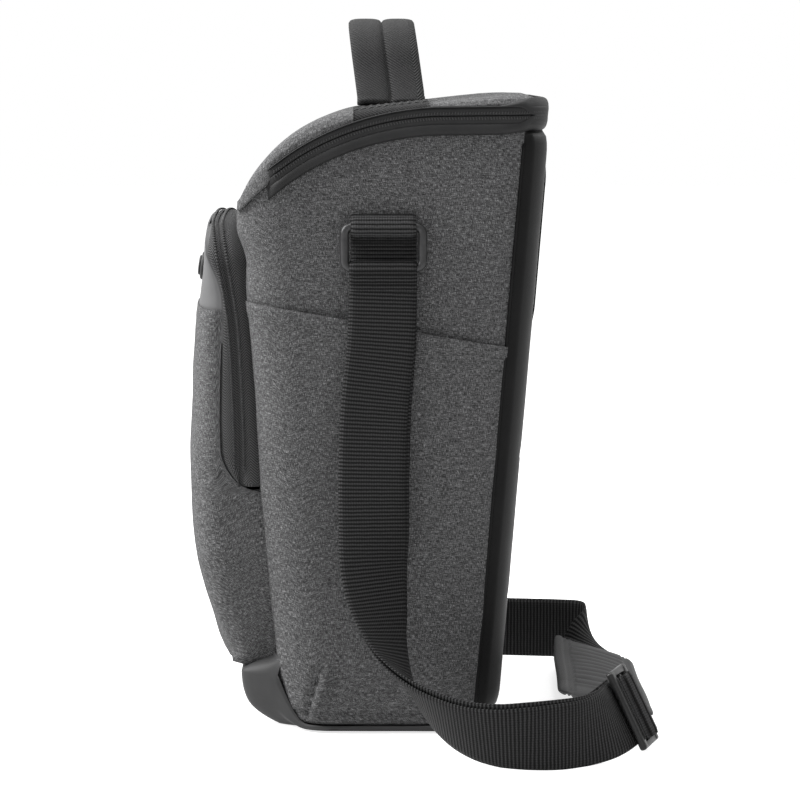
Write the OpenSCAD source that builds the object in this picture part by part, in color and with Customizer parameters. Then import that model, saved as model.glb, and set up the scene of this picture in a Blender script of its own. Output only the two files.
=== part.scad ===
// Top-loading holster camera bag with a zipped lid, a zipped front pocket and a shoulder strap.
// +X is the bag's right side seen from the front, -Y its front, +Z up. The origin is the middle
// of the footprint at the floor. Lengths are in millimetres.

/* [Body] */
// Half of the body's width at the floor
half_w_base = 76; // [60:1:85]
// How much that half width grows per millimetre of height
w_flare = 0.034; // [0:0.001:0.1]
// Front face at the floor
front_base = -35.7; // [-40:0.1:-30]
// Forward lean of the front face per millimetre of height
front_lean = 0.0865; // [0.05:0.0005:0.12]
// Back face of the padded wall at the floor
back_base = 57.2; // [50:0.1:65]
// Backward lean of the back face per millimetre of height
back_lean = 0.08; // [0.05:0.0005:0.12]
// Radius of the body's upright corners
corner_r = 20; // [14:1:26]
// Thickness of the sole under the body
sole_t = 3; // [2:0.5:5]

/* [Walls] */
// Outer fabric
cover_t = 1.2; // [0.8:0.1:2]
// Foam boards
foam_t = 6; // [4:0.5:9]
// Lining
lining_t = 0.9; // [0.6:0.1:1.5]
// Air between two layers that are sewn only at their edges
layer_gap = 0.15; // [0.1:0.05:0.3]

/* [Lid] */
// Height of the fold at the front, which is the lid's hinge
hinge_z = 241.3; // [238:0.1:246]
// Radius of the lid's domed front
dome_r = 66.7; // [60:0.1:75]
// Height of the zip band below the zip line
band_low = 9; // [7:0.5:11]
// How far the zip bands stand proud of the cover
band_proud = 2.1; // [1.5:0.1:3]

/* [Front pocket] */
// Height of the zip's lower ends, where the flap folds
flap_fold_z = 112; // [100:1:125]
// Height of the pocket's top
pocket_top = 234.6; // [225:0.1:238]
// Front of the pocket where it bulges most
pocket_front = -81.7; // [-90:0.1:-75]
// Half width of the pocket above the fold
pocket_half_w = 64; // [58:1:70]
// Thickness of the pocket's padded fabric
pocket_t = 1.6; // [1.2:0.1:2.5]

/* [Strap] */
// Width of the webbing
strap_w = 30; // [25:1:38]
// Thickness of the webbing
strap_t = 1.5; // [1.2:0.1:2]
// Diameter of the ring's wire
ring_wire = 3.6; // [3:0.1:4.5]

/* [Hidden] */
$fn = 32;
eps = 0.01;
GREY = "#5b5b5d";
BLACK = "#1d1d1f";
LEATHER = "#3a3a3c";

// ---- shape helpers ----

function mix(a, b, t) = a + (b - a) * t;
function unit(v) = v / norm(v);

// Steps round a rounded rectangle: half the front, a corner, a side, and so on
n_half = 2;
n_corner = 5;
n_side = 8;
n_ring = 4 * n_half + 4 * n_corner + 2 * n_side;
i_side = n_half + n_corner;
i_back = i_side + n_side + n_corner;
// Where the back panel's edge meets the side walls
i_band = i_side + n_side + 2;

function mirror_x(p) = [-p[0], p[1]];

// Point i of a rounded rectangle, from the middle of its front anticlockwise to the middle of its back
function half_outline(i, w, y0, y1, r) =
    i <= n_half ? [(w - r) * i / n_half, y0]
    : i <= i_side ? let (a = -90 + 90 * (i - n_half) / n_corner) [w - r + r * cos(a), y0 + r + r * sin(a)]
    : i <= i_side + n_side ? [w, mix(y0 + r, y1 - r, (i - i_side) / n_side)]
    : i <= i_back ? let (a = 90 * (i - i_side - n_side) / n_corner) [w - r + r * cos(a), y1 - r + r * sin(a)]
    : [(w - r) * (i_back + n_half - i) / n_half, y1];

function outline(i, w, y0, y1, r) =
    let (m = (i + n_ring) % n_ring)
    m <= n_ring / 2 ? half_outline(m, w, y0, y1, r) : mirror_x(half_outline(n_ring - m, w, y0, y1, r));

// The body's section at height z, inset by e
function wall_w(z) = half_w_base + w_flare * z;
function wall_front(z) = front_base - front_lean * z;
function wall_back(z) = back_base + back_lean * z;
function wall(i, z, e) =
    concat(outline(i, wall_w(z) - e, wall_front(z) + e, wall_back(z) - e, max(corner_r - e, 1)), [z]);

// Height of the zip line at depth y: an arc over the front and a gentle rise to the back
zip_arc_r = 131.4;
zip_arc_y = 36.8;
zip_arc_z = hinge_z - sqrt(pow(zip_arc_r, 2) - pow(57.5 + zip_arc_y, 2));
zip_level_y = 31;
zip_rise = 0.065;
function zip_arc(y) = zip_arc_z + sqrt(pow(zip_arc_r, 2) - pow(y - zip_arc_y, 2));
function zip_line(y) = y < zip_level_y ? zip_arc(y) : zip_arc(zip_level_y) + zip_rise * (y - zip_level_y);

// Height of the lid's crown at depth y
dome_y = 5;
dome_z = hinge_z - sqrt(pow(dome_r, 2) - pow(57.5 + dome_y, 2));
crown_rise = 0.1;
function crown(y) = y < 0 ? dome_z + sqrt(pow(dome_r, 2) - pow(y - dome_y, 2))
    : dome_z + sqrt(pow(dome_r, 2) - pow(dome_y, 2)) + crown_rise * y;

function rim_y(i) = wall(i, 270, 0)[1];
function rim_z(i) = zip_line(max(rim_y(i), -56.4));

// ---- solids from rows of points ----

// Triangles between two rows of point numbers
function between(a, b, closed) = [
    for (i = [0 : len(a) - (closed ? 1 : 2)])
        let (j = (i + 1) % len(a)) each [[a[i], b[j], a[j]], [a[i], b[i], b[j]]]
];
function count_up(n, from) = [for (i = [0 : n - 1]) from + i];
function reverse(v) = [for (i = [len(v) - 1 : -1 : 0]) v[i]];
function column(grid, i) = [for (row = grid) row[i]];

function fan(ring, centre) = [for (i = [0 : len(ring) - 1]) [ring[i], ring[(i + 1) % len(ring)], centre]];

// A sheet with thickness: outer and inner are rows of points, which run upwards. closed joins each
// row's ends. cap_low and cap_high close the lowest and the highest row with a floor or a roof.
module sheet(outer, inner, closed = false, cap_low = false, cap_high = false) {
    rows = len(outer);
    n = len(outer[0]);
    top = rows - 1;
    mid = 2 * rows * n;
    a = [for (k = [0 : top]) count_up(n, k * n)];
    b = [for (k = [0 : top]) count_up(n, (rows + k) * n)];
    faces = concat(
        [for (k = [0 : top - 1]) each between(a[k], a[k + 1], closed)],
        [for (k = [0 : top - 1]) each between(b[k + 1], b[k], closed)],
        cap_low ? concat(fan(a[0], mid), fan(reverse(b[0]), mid + 1)) : between(b[0], a[0], closed),
        cap_high ? concat(fan(reverse(a[top]), mid + 2), fan(b[top], mid + 3))
            : between(a[top], b[top], closed),
        closed ? [] : between(column(a, 0), column(b, 0), false),
        closed ? [] : between(column(b, n - 1), column(a, n - 1), false)
    );
    centres = [centre(outer[0]), centre(inner[0]), centre(outer[top]), centre(inner[top])];
    polyhedron(points = concat([for (row = outer) each row], [for (row = inner) each row], centres),
        faces = faces, convexity = 8);
}
function centre(v) = [for (k = [0 : 2]) [for (p = v) p[k]] * [for (p = v) 1] / len(v)];

// A solid swept through closed sections of equal length
module sweep(sections) {
    rows = len(sections);
    n = len(sections[0]);
    a = [for (k = [0 : rows - 1]) count_up(n, k * n)];
    polyhedron(
        points = concat([for (s = sections) each s], [centre(sections[0]), centre(sections[rows - 1])]),
        faces = concat([for (k = [0 : rows - 2]) each between(a[k], a[k + 1], true)],
            fan(a[0], rows * n), fan(reverse(a[rows - 1]), rows * n + 1)),
        convexity = 8);
}

// A band round the body between two heights, from perimeter step i0 to i1, standing out from e_in to e_out
module wall_band(i0, i1, low, high, e_in, e_out) {
    sweep([for (i = [i0 : i1]) let (z0 = rim_z(i) + low, z1 = rim_z(i) + high)
        [wall(i, z0, e_out), wall(i, z1, e_out), wall(i, z1, e_in), wall(i, z0, e_in)]]);
}

// An open-topped tub that follows the body's walls, from inset e_out to inset e_in
module tub(floor_z, floor_t, e_out, e_in, drop) {
    round_r = tub_round;
    all = [0 : n_ring - 1];
    function tub_rows(z0, e, r) = [
        [for (i = all) wall(i, z0, e + r)],
        [for (i = all) wall(i, z0 + 0.3 * r, e + 0.3 * r)],
        [for (i = all) wall(i, z0 + r, e)],
        [for (i = all) wall(i, 130, e)],
        [for (i = all) wall(i, rim_z(i) - drop, e)]
    ];
    sheet(tub_rows(floor_z, e_out, round_r), tub_rows(floor_z + floor_t, e_in, round_r),
        closed = true, cap_low = true);
}

// ---- body ----

foam_out = cover_t + layer_gap;
foam_in = foam_out + foam_t;
lining_out = foam_in + layer_gap;
lining_in = lining_out + lining_t;
board_z = sole_t + layer_gap + cover_t + layer_gap;
board_t = 1.6;
foam_z = board_z + board_t + layer_gap;
lining_z = foam_z + foam_t + layer_gap;

module body_cover() color(GREY) tub(sole_t + layer_gap, cover_t, 0, cover_t, 0.4);
module body_foam() color("#e4e0d6") tub(foam_z, foam_t, foam_out, foam_in, 1);
module body_lining() color("#8a8a8c") tub(lining_z, lining_t, lining_out, lining_in, 0.6);

// Stiffener sheet under the foam floor
module base_board() {
    inset = 11;
    color("#2a2a2a") translate([0, 0, board_z]) linear_extrude(board_t)
        polygon([for (i = [0 : n_ring - 1]) outline(i, half_w_base - inset, front_base + inset,
            back_base - inset, corner_r - inset)]);
}

// Moulded boot: a thin sole under the body and a padded toe in front of it
boot_toe_y = -53.5;
boot_toe_z = 33;
boot_side_z = 4.6;
boot_gap = 2.1;
// 1 at the front face, falling to 0 along the sides
function boot_toe(i) = let (y = wall(i, 20, 0)[1]) pow(max(0, min(1, (-27 - y) / 11)), 0.9);
function boot_height(i) = mix(boot_side_z, boot_toe_z, boot_toe(i));
// Inset of the body's rounded lower edge at height z
tub_round = 8;
function low_inset(z) = let (low = sole_t + layer_gap)
    lookup(z, [[low, tub_round], [low + 0.3 * tub_round, 0.3 * tub_round], [low + tub_round, 0]]);
module base_boot() {
    all = [0 : n_ring - 1];
    levels = [0, 0.16, 0.4, 0.7, 1];
    tucks = [8.1, 2.2, -0.9, -1.7, -1.7];
    lip = 0.3;
    function skin(i, k) = let (p = wall(i, boot_height(i) * levels[k], tucks[k]),
        reach = boot_toe(i) * (boot_toe_y - wall_front(20)) * sin(min(90, 25 + 95 * levels[k])))
        [p[0], p[1] + reach, p[2]];
    function bed(i, k) = let (z = max(sole_t + lip * k, boot_height(i) * levels[k]))
        wall(i, z, low_inset(z) - boot_gap);
    color(LEATHER) sheet([for (k = [0 : 4]) [for (i = all) skin(i, k)]],
        [for (k = [0 : 4]) [for (i = all) bed(i, k)]], closed = true, cap_low = true);
}

// Padded panel over the back, which returns round both rear corners
panel_t = 2.5;
module back_panel() {
    i0 = i_band;
    i1 = n_ring - i0;
    heights = [9, 40, 110, 180, 240, 272];
    function rows(e) = [for (z = heights) [for (i = [i0 : i1]) wall(i, z, e)]];
    color(BLACK) sheet(rows(-panel_t), rows(-layer_gap));
}

// Webbing loop on the back for a belt
loop_gap = 1.2;
loop_w = 46;
loop_t = 1.4;
loop_top = 266;
loop_low = 176;
module belt_loop() {
    function y_at(z, out) = wall_back(z) + panel_t + layer_gap + out;
    function line(out) = [
        [y_at(loop_low, out), loop_low], [y_at(loop_low + 14, out), loop_low + 14],
        [y_at(loop_low + 24, out + loop_gap), loop_low + 24],
        [y_at(loop_top - 24, out + loop_gap), loop_top - 24],
        [y_at(loop_top - 14, out), loop_top - 14], [y_at(loop_top, out), loop_top]
    ];
    color(BLACK) translate([-loop_w / 2, 0, 0]) rotate([90, 0, 90])
        linear_extrude(loop_w) polygon(concat(line(0), reverse(line(loop_t))));
}

// Flat slip pocket on a side wall, with a hem that slopes down to the back
hem_front = 198;
hem_back = 178;
pocket_off = 2.2;
module side_pocket(side) {
    cloth = 1.1;
    first = i_side - 3;
    last = i_band;
    function share(i) = (i - first) / (last - first);
    function depth(i) = wall(i, 190, 0)[1];
    function hem(i) = mix(hem_front, hem_back, (depth(i) - depth(first)) / (depth(last) - depth(first)));
    function rows(e) = [for (k = [0 : 4]) [for (i = [first : last])
        wall(i, mix(max(12, boot_height(i) + 0.8), hem(i), k / 4),
            -layer_gap - e - pocket_off * (k / 4) * sin(180 * share(i)))]];
    color(GREY) mirror([side > 0 ? 0 : 1, 0, 0]) sheet(rows(cloth), rows(0));
}

// ---- lid zip ----

i_zip0 = n_half + 4;
i_zip1 = n_ring - i_zip0;
coil_r = 1.1;
coil_gap = 0.25;
module zip_band_lower() color(BLACK)
    wall_band(i_zip0, i_zip1, -band_low, -0.4, -layer_gap, -band_proud);
module zip_band_upper() color(BLACK)
    wall_band(i_zip0, i_zip1, 0.4, 4, -layer_gap, -band_proud);
module zip_coil_lower() color("#101012")
    wall_band(i_zip0, i_zip1, -coil_r * 2, -coil_gap, -band_proud - 0.05, -band_proud - coil_r);
module zip_coil_upper() color("#101012")
    wall_band(i_zip0, i_zip1, coil_gap, coil_r * 2, -band_proud - 0.05, -band_proud - coil_r);

// ---- lid ----

lid_clear = 0.4;
insets = [0, 0, 2.2, 6, 11, 18, 28, 40, 54];
shares = [0, 0.5, 0.78, 0.9, 0.95, 0.98, 1, 1, 1];
function lid_point(i, k, t) =
    let (e = insets[k] + t, p = wall(i, 270, e), y = max(p[1], -56.6 + t * 0.6),
        low = zip_line(max(y, -56.6)) + lid_clear, rise = max(crown(y) - t - low, 0.35))
    [p[0] * wall_w(low) / wall_w(270), y, low + shares[k] * rise + (k == 0 ? 0 : 0.02)];
module lid_cover() color(GREY)
    sheet([for (k = [0 : 8]) [for (i = [0 : n_ring - 1]) lid_point(i, k, 0)]],
        [for (k = [0 : 8]) [for (i = [0 : n_ring - 1]) lid_point(i, k, cover_t)]],
        closed = true, cap_high = true);

// Pad of foam that fills the lid behind its domed front
lid_front_y = -44;
function lid_pad_row(e, lift) = [for (i = [0 : n_ring - 1])
    let (p = outline(i, wall_w(276) - e, lid_front_y + e - 4, wall_back(280) - e, max(corner_r - e, 4)),
        low = zip_line(p[1]) + lid_clear, high = crown(p[1]) - cover_t - 0.5)
    [p[0], p[1], mix(low + 1.8, high, lift)]];
module lid_foam() color("#e4e0d6") sweep([
    lid_pad_row(30, 0), lid_pad_row(4, 0), lid_pad_row(4, 0.35), lid_pad_row(8.5, 0.72),
    lid_pad_row(18, 0.86), lid_pad_row(36, 0.95)
]);
module lid_lining() {
    function row(e, up) = [for (p = lid_pad_row(e, 0)) [p[0], p[1], p[2] - 1.4 + up]];
    color("#8a8a8c") sheet([row(3, 0), row(3, 0.6), row(30, 1.1)], [row(3.2, 0), row(4, 0.1), row(30, 0.2)],
        closed = true, cap_high = true);
}

// ---- handle ----

handle_w = 31;
handle_y = 10;
handle_t = 3.4;
// Route of the handle's middle line over the lid, for x above 0; a mirrored half follows
handle_half = [[72, 291.6], [67, 295], [63.5, 301], [58, 311], [50, 318.5], [38, 322.5], [18, 323.6]];
function handle_line() = concat(handle_half, reverse([for (p = handle_half) [-p[0], p[1]]]));
function normal_at(line, i) =
    let (a = line[max(i - 1, 0)], b = line[min(i + 1, len(line) - 1)], d = unit(b - a)) [d[1], -d[0]];
module handle_strip(line, t) rotate([90, 0, 0]) linear_extrude(handle_w, center = true)
    polygon(concat([for (i = [0 : len(line) - 1]) line[i] - normal_at(line, i) * t / 2],
        reverse([for (i = [0 : len(line) - 1]) line[i] + normal_at(line, i) * t / 2])));
module carry_handle() color(BLACK) translate([0, handle_y, 0]) handle_strip(handle_line(), handle_t);

// Sewn feet: each runs from the handle's end down over the lid's edge to the zip band
foot_line = [[72.4, 290], [77.5, 289.2], [83, 287.3], [87.4, 286]];
module handle_foot_right() color(BLACK) translate([0, handle_y, 0]) handle_strip(foot_line, 1.2);
module handle_foot_left() mirror([1, 0, 0]) handle_foot_right();

// ---- sliders ----

pin_r = 0.8;
pin_bore_r = 0.86;
pull_w = 7;
pull_l = 19;
// Zip slider on the plane y = 0, with its outer face towards +y and the zip line through its middle
module slider_body() {
    translate([-5.5, 0, -5.5]) cube([11, 1.6, 11]);
    translate([-3.6, 1.6 - eps, 0.8]) cube([1.2, 3.2, 4]);
    translate([2.4, 1.6 - eps, 0.8]) cube([1.2, 3.2, 4]);
    translate([-3, 3.4, 3]) rotate([0, 90, 0]) cylinder(r = pin_r, h = 6);
}
// Pull tab that hangs from the slider's pin
module slider_pull() {
    translate([-2.1, 3.4, 3]) rotate([0, 90, 0]) difference() {
        cylinder(r = 1.5, h = 4.2);
        translate([0, 0, -1]) cylinder(r = pin_bore_r, h = 7);
    }
    translate([-1.6, 2.75, -5]) cube([3.2, 1.3, 6.9]);
    translate([-pull_w / 2, 2.75, 3 - pull_l]) cube([pull_w, 1.3, pull_l - 7.5]);
}
lid_slider_y = 30;
lid_slider_gap = 7;
module at_lid_slider(side) {
    y = lid_slider_y + side * lid_slider_gap;
    z = zip_line(y);
    translate([-wall_w(z) - band_proud - coil_r - 0.45, y, z]) rotate([0, 0, 90]) children();
}
module lid_slider_rear() color("#6f7072") at_lid_slider(1) slider_body();
module lid_slider_front() color("#6f7072") at_lid_slider(-1) slider_body();
module lid_pull_rear() color(BLACK) at_lid_slider(1) slider_pull();
module lid_pull_front() color(BLACK) at_lid_slider(-1) slider_pull();

// ---- front pocket ----

arch_r = 20;
n_arch = 6;
arch_low = flap_fold_z + 0.3;
arch_turn = pocket_top - arch_r;
// Zip path over the pocket as [x, z, outward x, outward z], from the lower left up, over and down
arch_right = concat(
    [for (k = [0 : n_arch]) let (a = 90 - 90 * k / n_arch)
        [pocket_half_w - arch_r + arch_r * cos(a), arch_turn + arch_r * sin(a), cos(a), sin(a)]],
    [for (z = [195, 170, 145, 125, arch_low]) [pocket_half_w, z, 1, 0]]);
arch = concat(reverse([for (p = arch_right) [-p[0], p[1], -p[2], p[3]]]), arch_right);

// Body's front face at width x and height z
function face_y(x, z) = let (over = max(0, abs(x) - (wall_w(z) - corner_r)))
    wall_front(z) + corner_r - sqrt(pow(corner_r, 2) - pow(min(over, corner_r), 2));
function zip_y(z) = lookup(z, [[112, -55], [145, -56.2], [170, -57.5], [195, -59.5], [217, -63.8],
    [235, -68.5]]);
function edge_y(z) = lookup(z, [[112, -59.5], [125, -61.6], [145, -64], [195, -64.4], [217, -67.2],
    [235, -71.6]]);
function bulge_y(z) = lookup(z, [[24, -56], [33, -65], [56, -73.7], [77, -79.7], [95, pocket_front],
    [136, pocket_front], [148, -80.9], [184, -79.8], [195, -78], [215, -75.4], [231, -73], [235, -72.2]]);
function pocket_hw(z) = let (over = z - arch_turn)
    over > 0 ? pocket_half_w - arch_r + sqrt(max(0, pow(arch_r, 2) - pow(over, 2)))
    : z < 80 ? pocket_half_w - 0.2 * (80 - z) : pocket_half_w;

// Strip that follows the arch, between the depths y0 and y1, with thickness t towards the inside
module arch_strip(depths, t, out = 0) sweep([for (k = [0 : len(arch) - 1]) let (p = arch[k], d = depths[k],
    x = p[0] + p[2] * out, z = p[1] + p[3] * out)
    [[x, d[0], z], [x, d[1], z], [x - p[2] * t, d[1], z - p[3] * t], [x - p[2] * t, d[0], z - p[3] * t]]]);
zip_half = 0.3;
gusset_t = 1.2;
module pocket_rear_gusset() color(BLACK)
    arch_strip([for (p = arch) [zip_y(p[1]) + zip_half,
        face_y(abs(p[0]) - gusset_t, p[1]) - 0.4]], gusset_t);
module flap_front_gusset() color(BLACK)
    arch_strip([for (p = arch) [edge_y(p[1]) + pocket_t + 0.3, zip_y(p[1]) - zip_half]], gusset_t);
module pocket_coil_rear() color("#101012")
    arch_strip([for (p = arch) [zip_y(p[1]) + 0.25, zip_y(p[1]) + 2.2]], coil_r, coil_r + 0.05);
module pocket_coil_front() color("#101012")
    arch_strip([for (p = arch) [zip_y(p[1]) - 2.2, zip_y(p[1]) - 0.25]], coil_r, coil_r + 0.05);

// Bulged front profile: shares of the half width, and of the way back from the bulge to the edge
front_x = [0, 0.25, 0.5, 0.7, 0.85, 0.95, 1];
front_y = [0, 0.03, 0.13, 0.32, 0.58, 0.82, 1];
n_front = len(front_x) - 1;
function bow_point(j, z, t) = let (k = abs(j), hw = pocket_hw(z) - t)
    [sign(j) * front_x[k] * hw, mix(bulge_y(z), edge_y(z), front_y[k]) + t, z];
function bow_row(z, t) = [for (j = [-n_front : n_front]) bow_point(j, z, t)];
flap_rows = [arch_low, 115, 136, 148, 165, 180, 192.5, 197, arch_turn, 224, 230.5, pocket_top - 0.6];
module flap_panel() color(GREY)
    sheet([for (z = flap_rows) bow_row(z, 0)], [for (z = flap_rows) bow_row(z, pocket_t)]);

// Lower pouch: the bulged front, and a back wall against the body
shell_rows = [33.6, 38, 56, 77, 95, flap_fold_z - 0.3];
function shell_edge(z) = max(edge_y(z), bulge_y(z) + 6);
function shell_row(z, t) = concat(
    [for (j = [-n_front : n_front]) let (k = abs(j), hw = pocket_hw(z) - t)
        [sign(j) * front_x[k] * hw, mix(bulge_y(z), shell_edge(z), front_y[k]) + t, z]],
    [for (j = [n_front - 1 : -1 : -n_front + 1]) let (x = sign(j) * front_x[abs(j)] * (pocket_hw(z) - t))
        [x, face_y(x, z) - 1 - t * 0.6, z]]);
module pocket_shell() color(GREY) sheet([for (z = shell_rows) shell_row(z, 0)],
    [for (k = [0 : 5]) shell_row(max(shell_rows[k], shell_rows[0] + pocket_t * (k == 0 ? 1 : 0)), pocket_t)],
    closed = true, cap_low = true);

// Thin layers on the flap
function patch_row(z, t) = [for (j = [-n_front + 1 : n_front - 1]) bow_point(j, z, t)];
patch_gap = 0.35;
facing_t = 1;
module flap_patch(first, last, t) color(LEATHER) sheet(
    [for (k = [first : last]) patch_row(flap_rows[k], -t)],
    [for (k = [first : last]) patch_row(flap_rows[k], -patch_gap)]);
module slip_pocket() flap_patch(1, 6, 1.5);
module flap_facing() flap_patch(7, 10, facing_t);
stud_z = 209;
stud_tilt = 7.3;
module flap_stud() color(LEATHER) translate([0, bulge_y(stud_z) - facing_t - 0.4, stud_z])
    rotate([90 - stud_tilt, 0, 0]) cylinder(r = 7, h = 1.8);

pocket_slider_z = 121;
module at_pocket_slider() translate([-pocket_half_w - coil_r - 0.4, zip_y(pocket_slider_z), pocket_slider_z])
    rotate([0, 0, 90]) children();
module pocket_slider() color("#6f7072") at_pocket_slider() slider_body();
module pocket_pull() color(BLACK) at_pocket_slider() slider_pull();

// ---- shoulder strap ----

ring_x = 90;
ring_y = 8.25;
ring_z = 232.5;
ring_w = 38.3;
ring_h = 22;
r_wire = ring_wire / 2;
ring_bend = 3.2;
// Ring in the plane x = 0, with the middle of its upper bar on the origin
module ring() {
    half = ring_w / 2 - r_wire;
    low = -(ring_h - ring_wire);
    for (z = [0, low]) translate([0, ring_bend - half, z]) rotate([-90, 0, 0])
        cylinder(r = r_wire, h = 2 * (half - ring_bend));
    for (y = [-half, half]) translate([0, y, low + ring_bend])
        cylinder(r = r_wire, h = -low - 2 * ring_bend);
    for (c = [[half - ring_bend, -ring_bend, 0], [ring_bend - half, -ring_bend, 90],
        [ring_bend - half, low + ring_bend, 180], [half - ring_bend, low + ring_bend, 270]])
        translate([0, c[0], c[1]]) rotate([90, 0, 90]) rotate([0, 0, c[2]])
            rotate_extrude(angle = 90) translate([ring_bend, 0]) circle(r = r_wire);
}
// Webbing loop that holds the ring: a sleeve on the upper bar and a tail sewn to the wall
sleeve_r = 3.4;
anchor_w = 29;
module strap_anchor() {
    tail_x = wall_w(ring_z) + 0.3 - ring_x;
    translate([0, anchor_w / 2, 0]) rotate([90, 0, 0]) linear_extrude(anchor_w) difference() {
        union() {
            circle(r = sleeve_r);
            polygon([[tail_x, -4], [tail_x + 1.5, -4.4], [0, -sleeve_r], [0, sleeve_r],
                [tail_x + 1.5, 4.4], [tail_x, 4.8]]);
        }
        circle(r = r_wire + 0.06);
    }
}
// Webbing loop round the ring's lower bar: its two ends hang down as the strap's layers
loop_mid_r = r_wire + 0.1 + strap_t / 2;
strap_top = 206;
module strap_loop() {
    low = -(ring_h - ring_wire);
    r0 = loop_mid_r - strap_t / 2;
    r1 = loop_mid_r + strap_t / 2;
    tail = strap_top - ring_z - low;
    function arc(r) = [for (k = [0 : 12]) let (a = 15 * k) [r * cos(a), r * sin(a)]];
    translate([0, strap_w / 2, low]) rotate([90, 0, 0]) linear_extrude(strap_w) polygon(
        concat([[1.7, tail]], arc(r1), [[-1.7, tail], [-0.2, tail]], reverse(arc(r0)), [[0.2, tail]]));
}
module on_side(side) mirror([side > 0 ? 0 : 1, 0, 0]) translate([ring_x, ring_y, ring_z]) children();
module strap_anchor_right() color(BLACK) on_side(1) strap_anchor();
module strap_anchor_left() color(BLACK) on_side(-1) strap_anchor();
module ring_right() color("#232325") on_side(1) ring();
module ring_left() color("#232325") on_side(-1) ring();
module strap_loop_right() color(BLACK) on_side(1) strap_loop();
module strap_loop_left() color(BLACK) on_side(-1) strap_loop();

// Route of the strap from a ring down to the floor, and its half turn, as [middle, towards the top edge]
hang_route = [
    [[90, 8, 204.6], [0, -1, 0]], [[90.5, 7, 180], [0, -1, 0]], [[91, 4, 150], [0, -1, 0]],
    [[92, 3, 120], [0, -1, 0]], [[93, 3, 96], [0.1, -1, 0]], [[94.5, 3, 80], [0.3, -0.95, 0.05]],
    [[98, 5, 64], [0.5, -0.85, 0.15]], [[105, 9, 48], [0.68, -0.63, 0.37]],
    [[113, 15, 36], [0.7, -0.46, 0.54]], [[123, 25, 26], [0.64, -0.29, 0.71]],
    [[132, 36, 20], [0.54, -0.18, 0.82]], [[139, 47, 17], [0.45, -0.12, 0.88]],
    [[143.5, 59, 16], [0.35, -0.07, 0.93]], [[144.5, 71, 16], [0.2, -0.03, 0.97]],
    [[142, 84, 16], [0.05, 0, 1]], [[136, 95, 16], [0, 0, 1]]
];
adjuster_at = [104, 116, 17.5];
adjuster_along = [-0.94, 0.34, 0];
adjuster_across = [-0.153, -0.423, 0.893];
near_route = concat(hang_route, [[[126.5, 105.5, 16.6], [-0.08, -0.2, 0.97]],
    [[114.5, 112.2, 17.3], adjuster_across], [adjuster_at, adjuster_across]]);
pad_route = [
    [[86, 121, 16.4], [-0.15, -0.45, 0.88]], [[78, 120, 14.4], [-0.1, -0.66, 0.74]],
    [[71, 116.5, 12.4], [0, -0.9, 0.42]], [[64, 113.4, 11.1], [0, -0.97, 0.24]],
    [[56, 112.5, 10.5], [0, -0.98, 0.19]], [[46, 112.5, 9.8], [0, -0.98, 0.19]],
    [[30, 112.5, 9.4], [0, -0.98, 0.19]], [[0, 112.5, 9.4], [0, -0.98, 0.19]],
    [[-30, 112.5, 9.4], [0, -0.98, 0.19]], [[-50, 112.5, 9.4], [0, -0.98, 0.19]],
    [[-61, 112.5, 9.5], [0, -0.98, 0.2]], [[-68, 113.5, 12], [0, -0.78, 0.62]],
    [[-76, 112.5, 15], [0.1, -0.3, 0.95]]
];
left_route = [
    [[-90, 8, 204.6], [0, -1, 0]], [[-90.5, 7, 180], [0, -1, 0]], [[-91, 4, 150], [0, -1, 0]],
    [[-91.5, 3, 120], [0, -1, 0]], [[-92, 3, 98], [0, -1, 0.05]], [[-92, 5, 80], [0, -0.96, 0.28]],
    [[-92, 9, 64], [0, -0.86, 0.5]], [[-92, 15, 49], [0, -0.74, 0.67]],
    [[-92, 24, 36], [0, -0.56, 0.83]], [[-91.5, 36, 25], [0, -0.34, 0.94]],
    [[-91, 50, 18.5], [0, -0.15, 0.99]], [[-89.5, 66, 16.2], [0, -0.04, 1]],
    [[-87.5, 82, 16], [0, 0, 1]], [[-85.5, 96, 16], [0, 0, 1]], [[-82, 107, 16], [0, 0, 1]]
];
far_route = concat([[[94, 119.6, 17.2], adjuster_across]], pad_route, reverse(left_route));

// A soft curve through a route's points, with n steps between two of them
function soft_step(a, b, c, d, t) = (2 * b + (c - a) * t + (2 * a - 5 * b + 4 * c - d) * t * t
    + (3 * b - a - 3 * c + d) * t * t * t) / 2;
function soften(route, n) = let (last = len(route) - 1) concat(
    [for (i = [0 : last - 1], k = [0 : n - 1]) let (t = k / n)
        [for (part = [0, 1]) let (b = route[i][part], c = route[i + 1][part],
            a = i > 0 ? route[i - 1][part] : 2 * b - c, d = i + 1 < last ? route[i + 2][part] : 2 * c - b)
            soft_step(a, b, c, d, t)]],
    [route[last]]);

// Flat webbing along a route, moved by off along its face normal. Both wide faces are split along the
// same diagonals, so that the thickness stays even where the webbing twists.
function along(route, i) = unit(route[min(i + 1, len(route) - 1)][0] - route[max(i - 1, 0)][0]);
function across(route, i) = let (t = along(route, i), w = route[i][1]) unit(w - (w * t) * t);
module ribbon(keys, steps, off, w, t) {
    route = soften(keys, steps);
    last = len(route) - 1;
    points = [for (i = [0 : last]) let (u = across(route, i), n = cross(along(route, i), u), v = u * w / 2,
        c = route[i][0] + off * n, h = n * t / 2) each [c - v - h, c + v - h, c + v + h, c - v + h]];
    faces = [for (i = [0 : last - 1]) let (a = 4 * i, b = 4 * i + 4) each [
        [a, b + 1, a + 1], [a, b, b + 1], [a + 1, b + 2, a + 2], [a + 1, b + 1, b + 2],
        [a + 2, b + 2, a + 3], [a + 3, b + 2, b + 3], [a + 3, b, a], [a + 3, b + 3, b]]];
    polyhedron(points = points, convexity = 8, faces = concat(faces,
        [[0, 1, 2, 3], [4 * last + 3, 4 * last + 2, 4 * last + 1, 4 * last]]));
}
layer_off = strap_t / 2 + 0.15;
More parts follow.
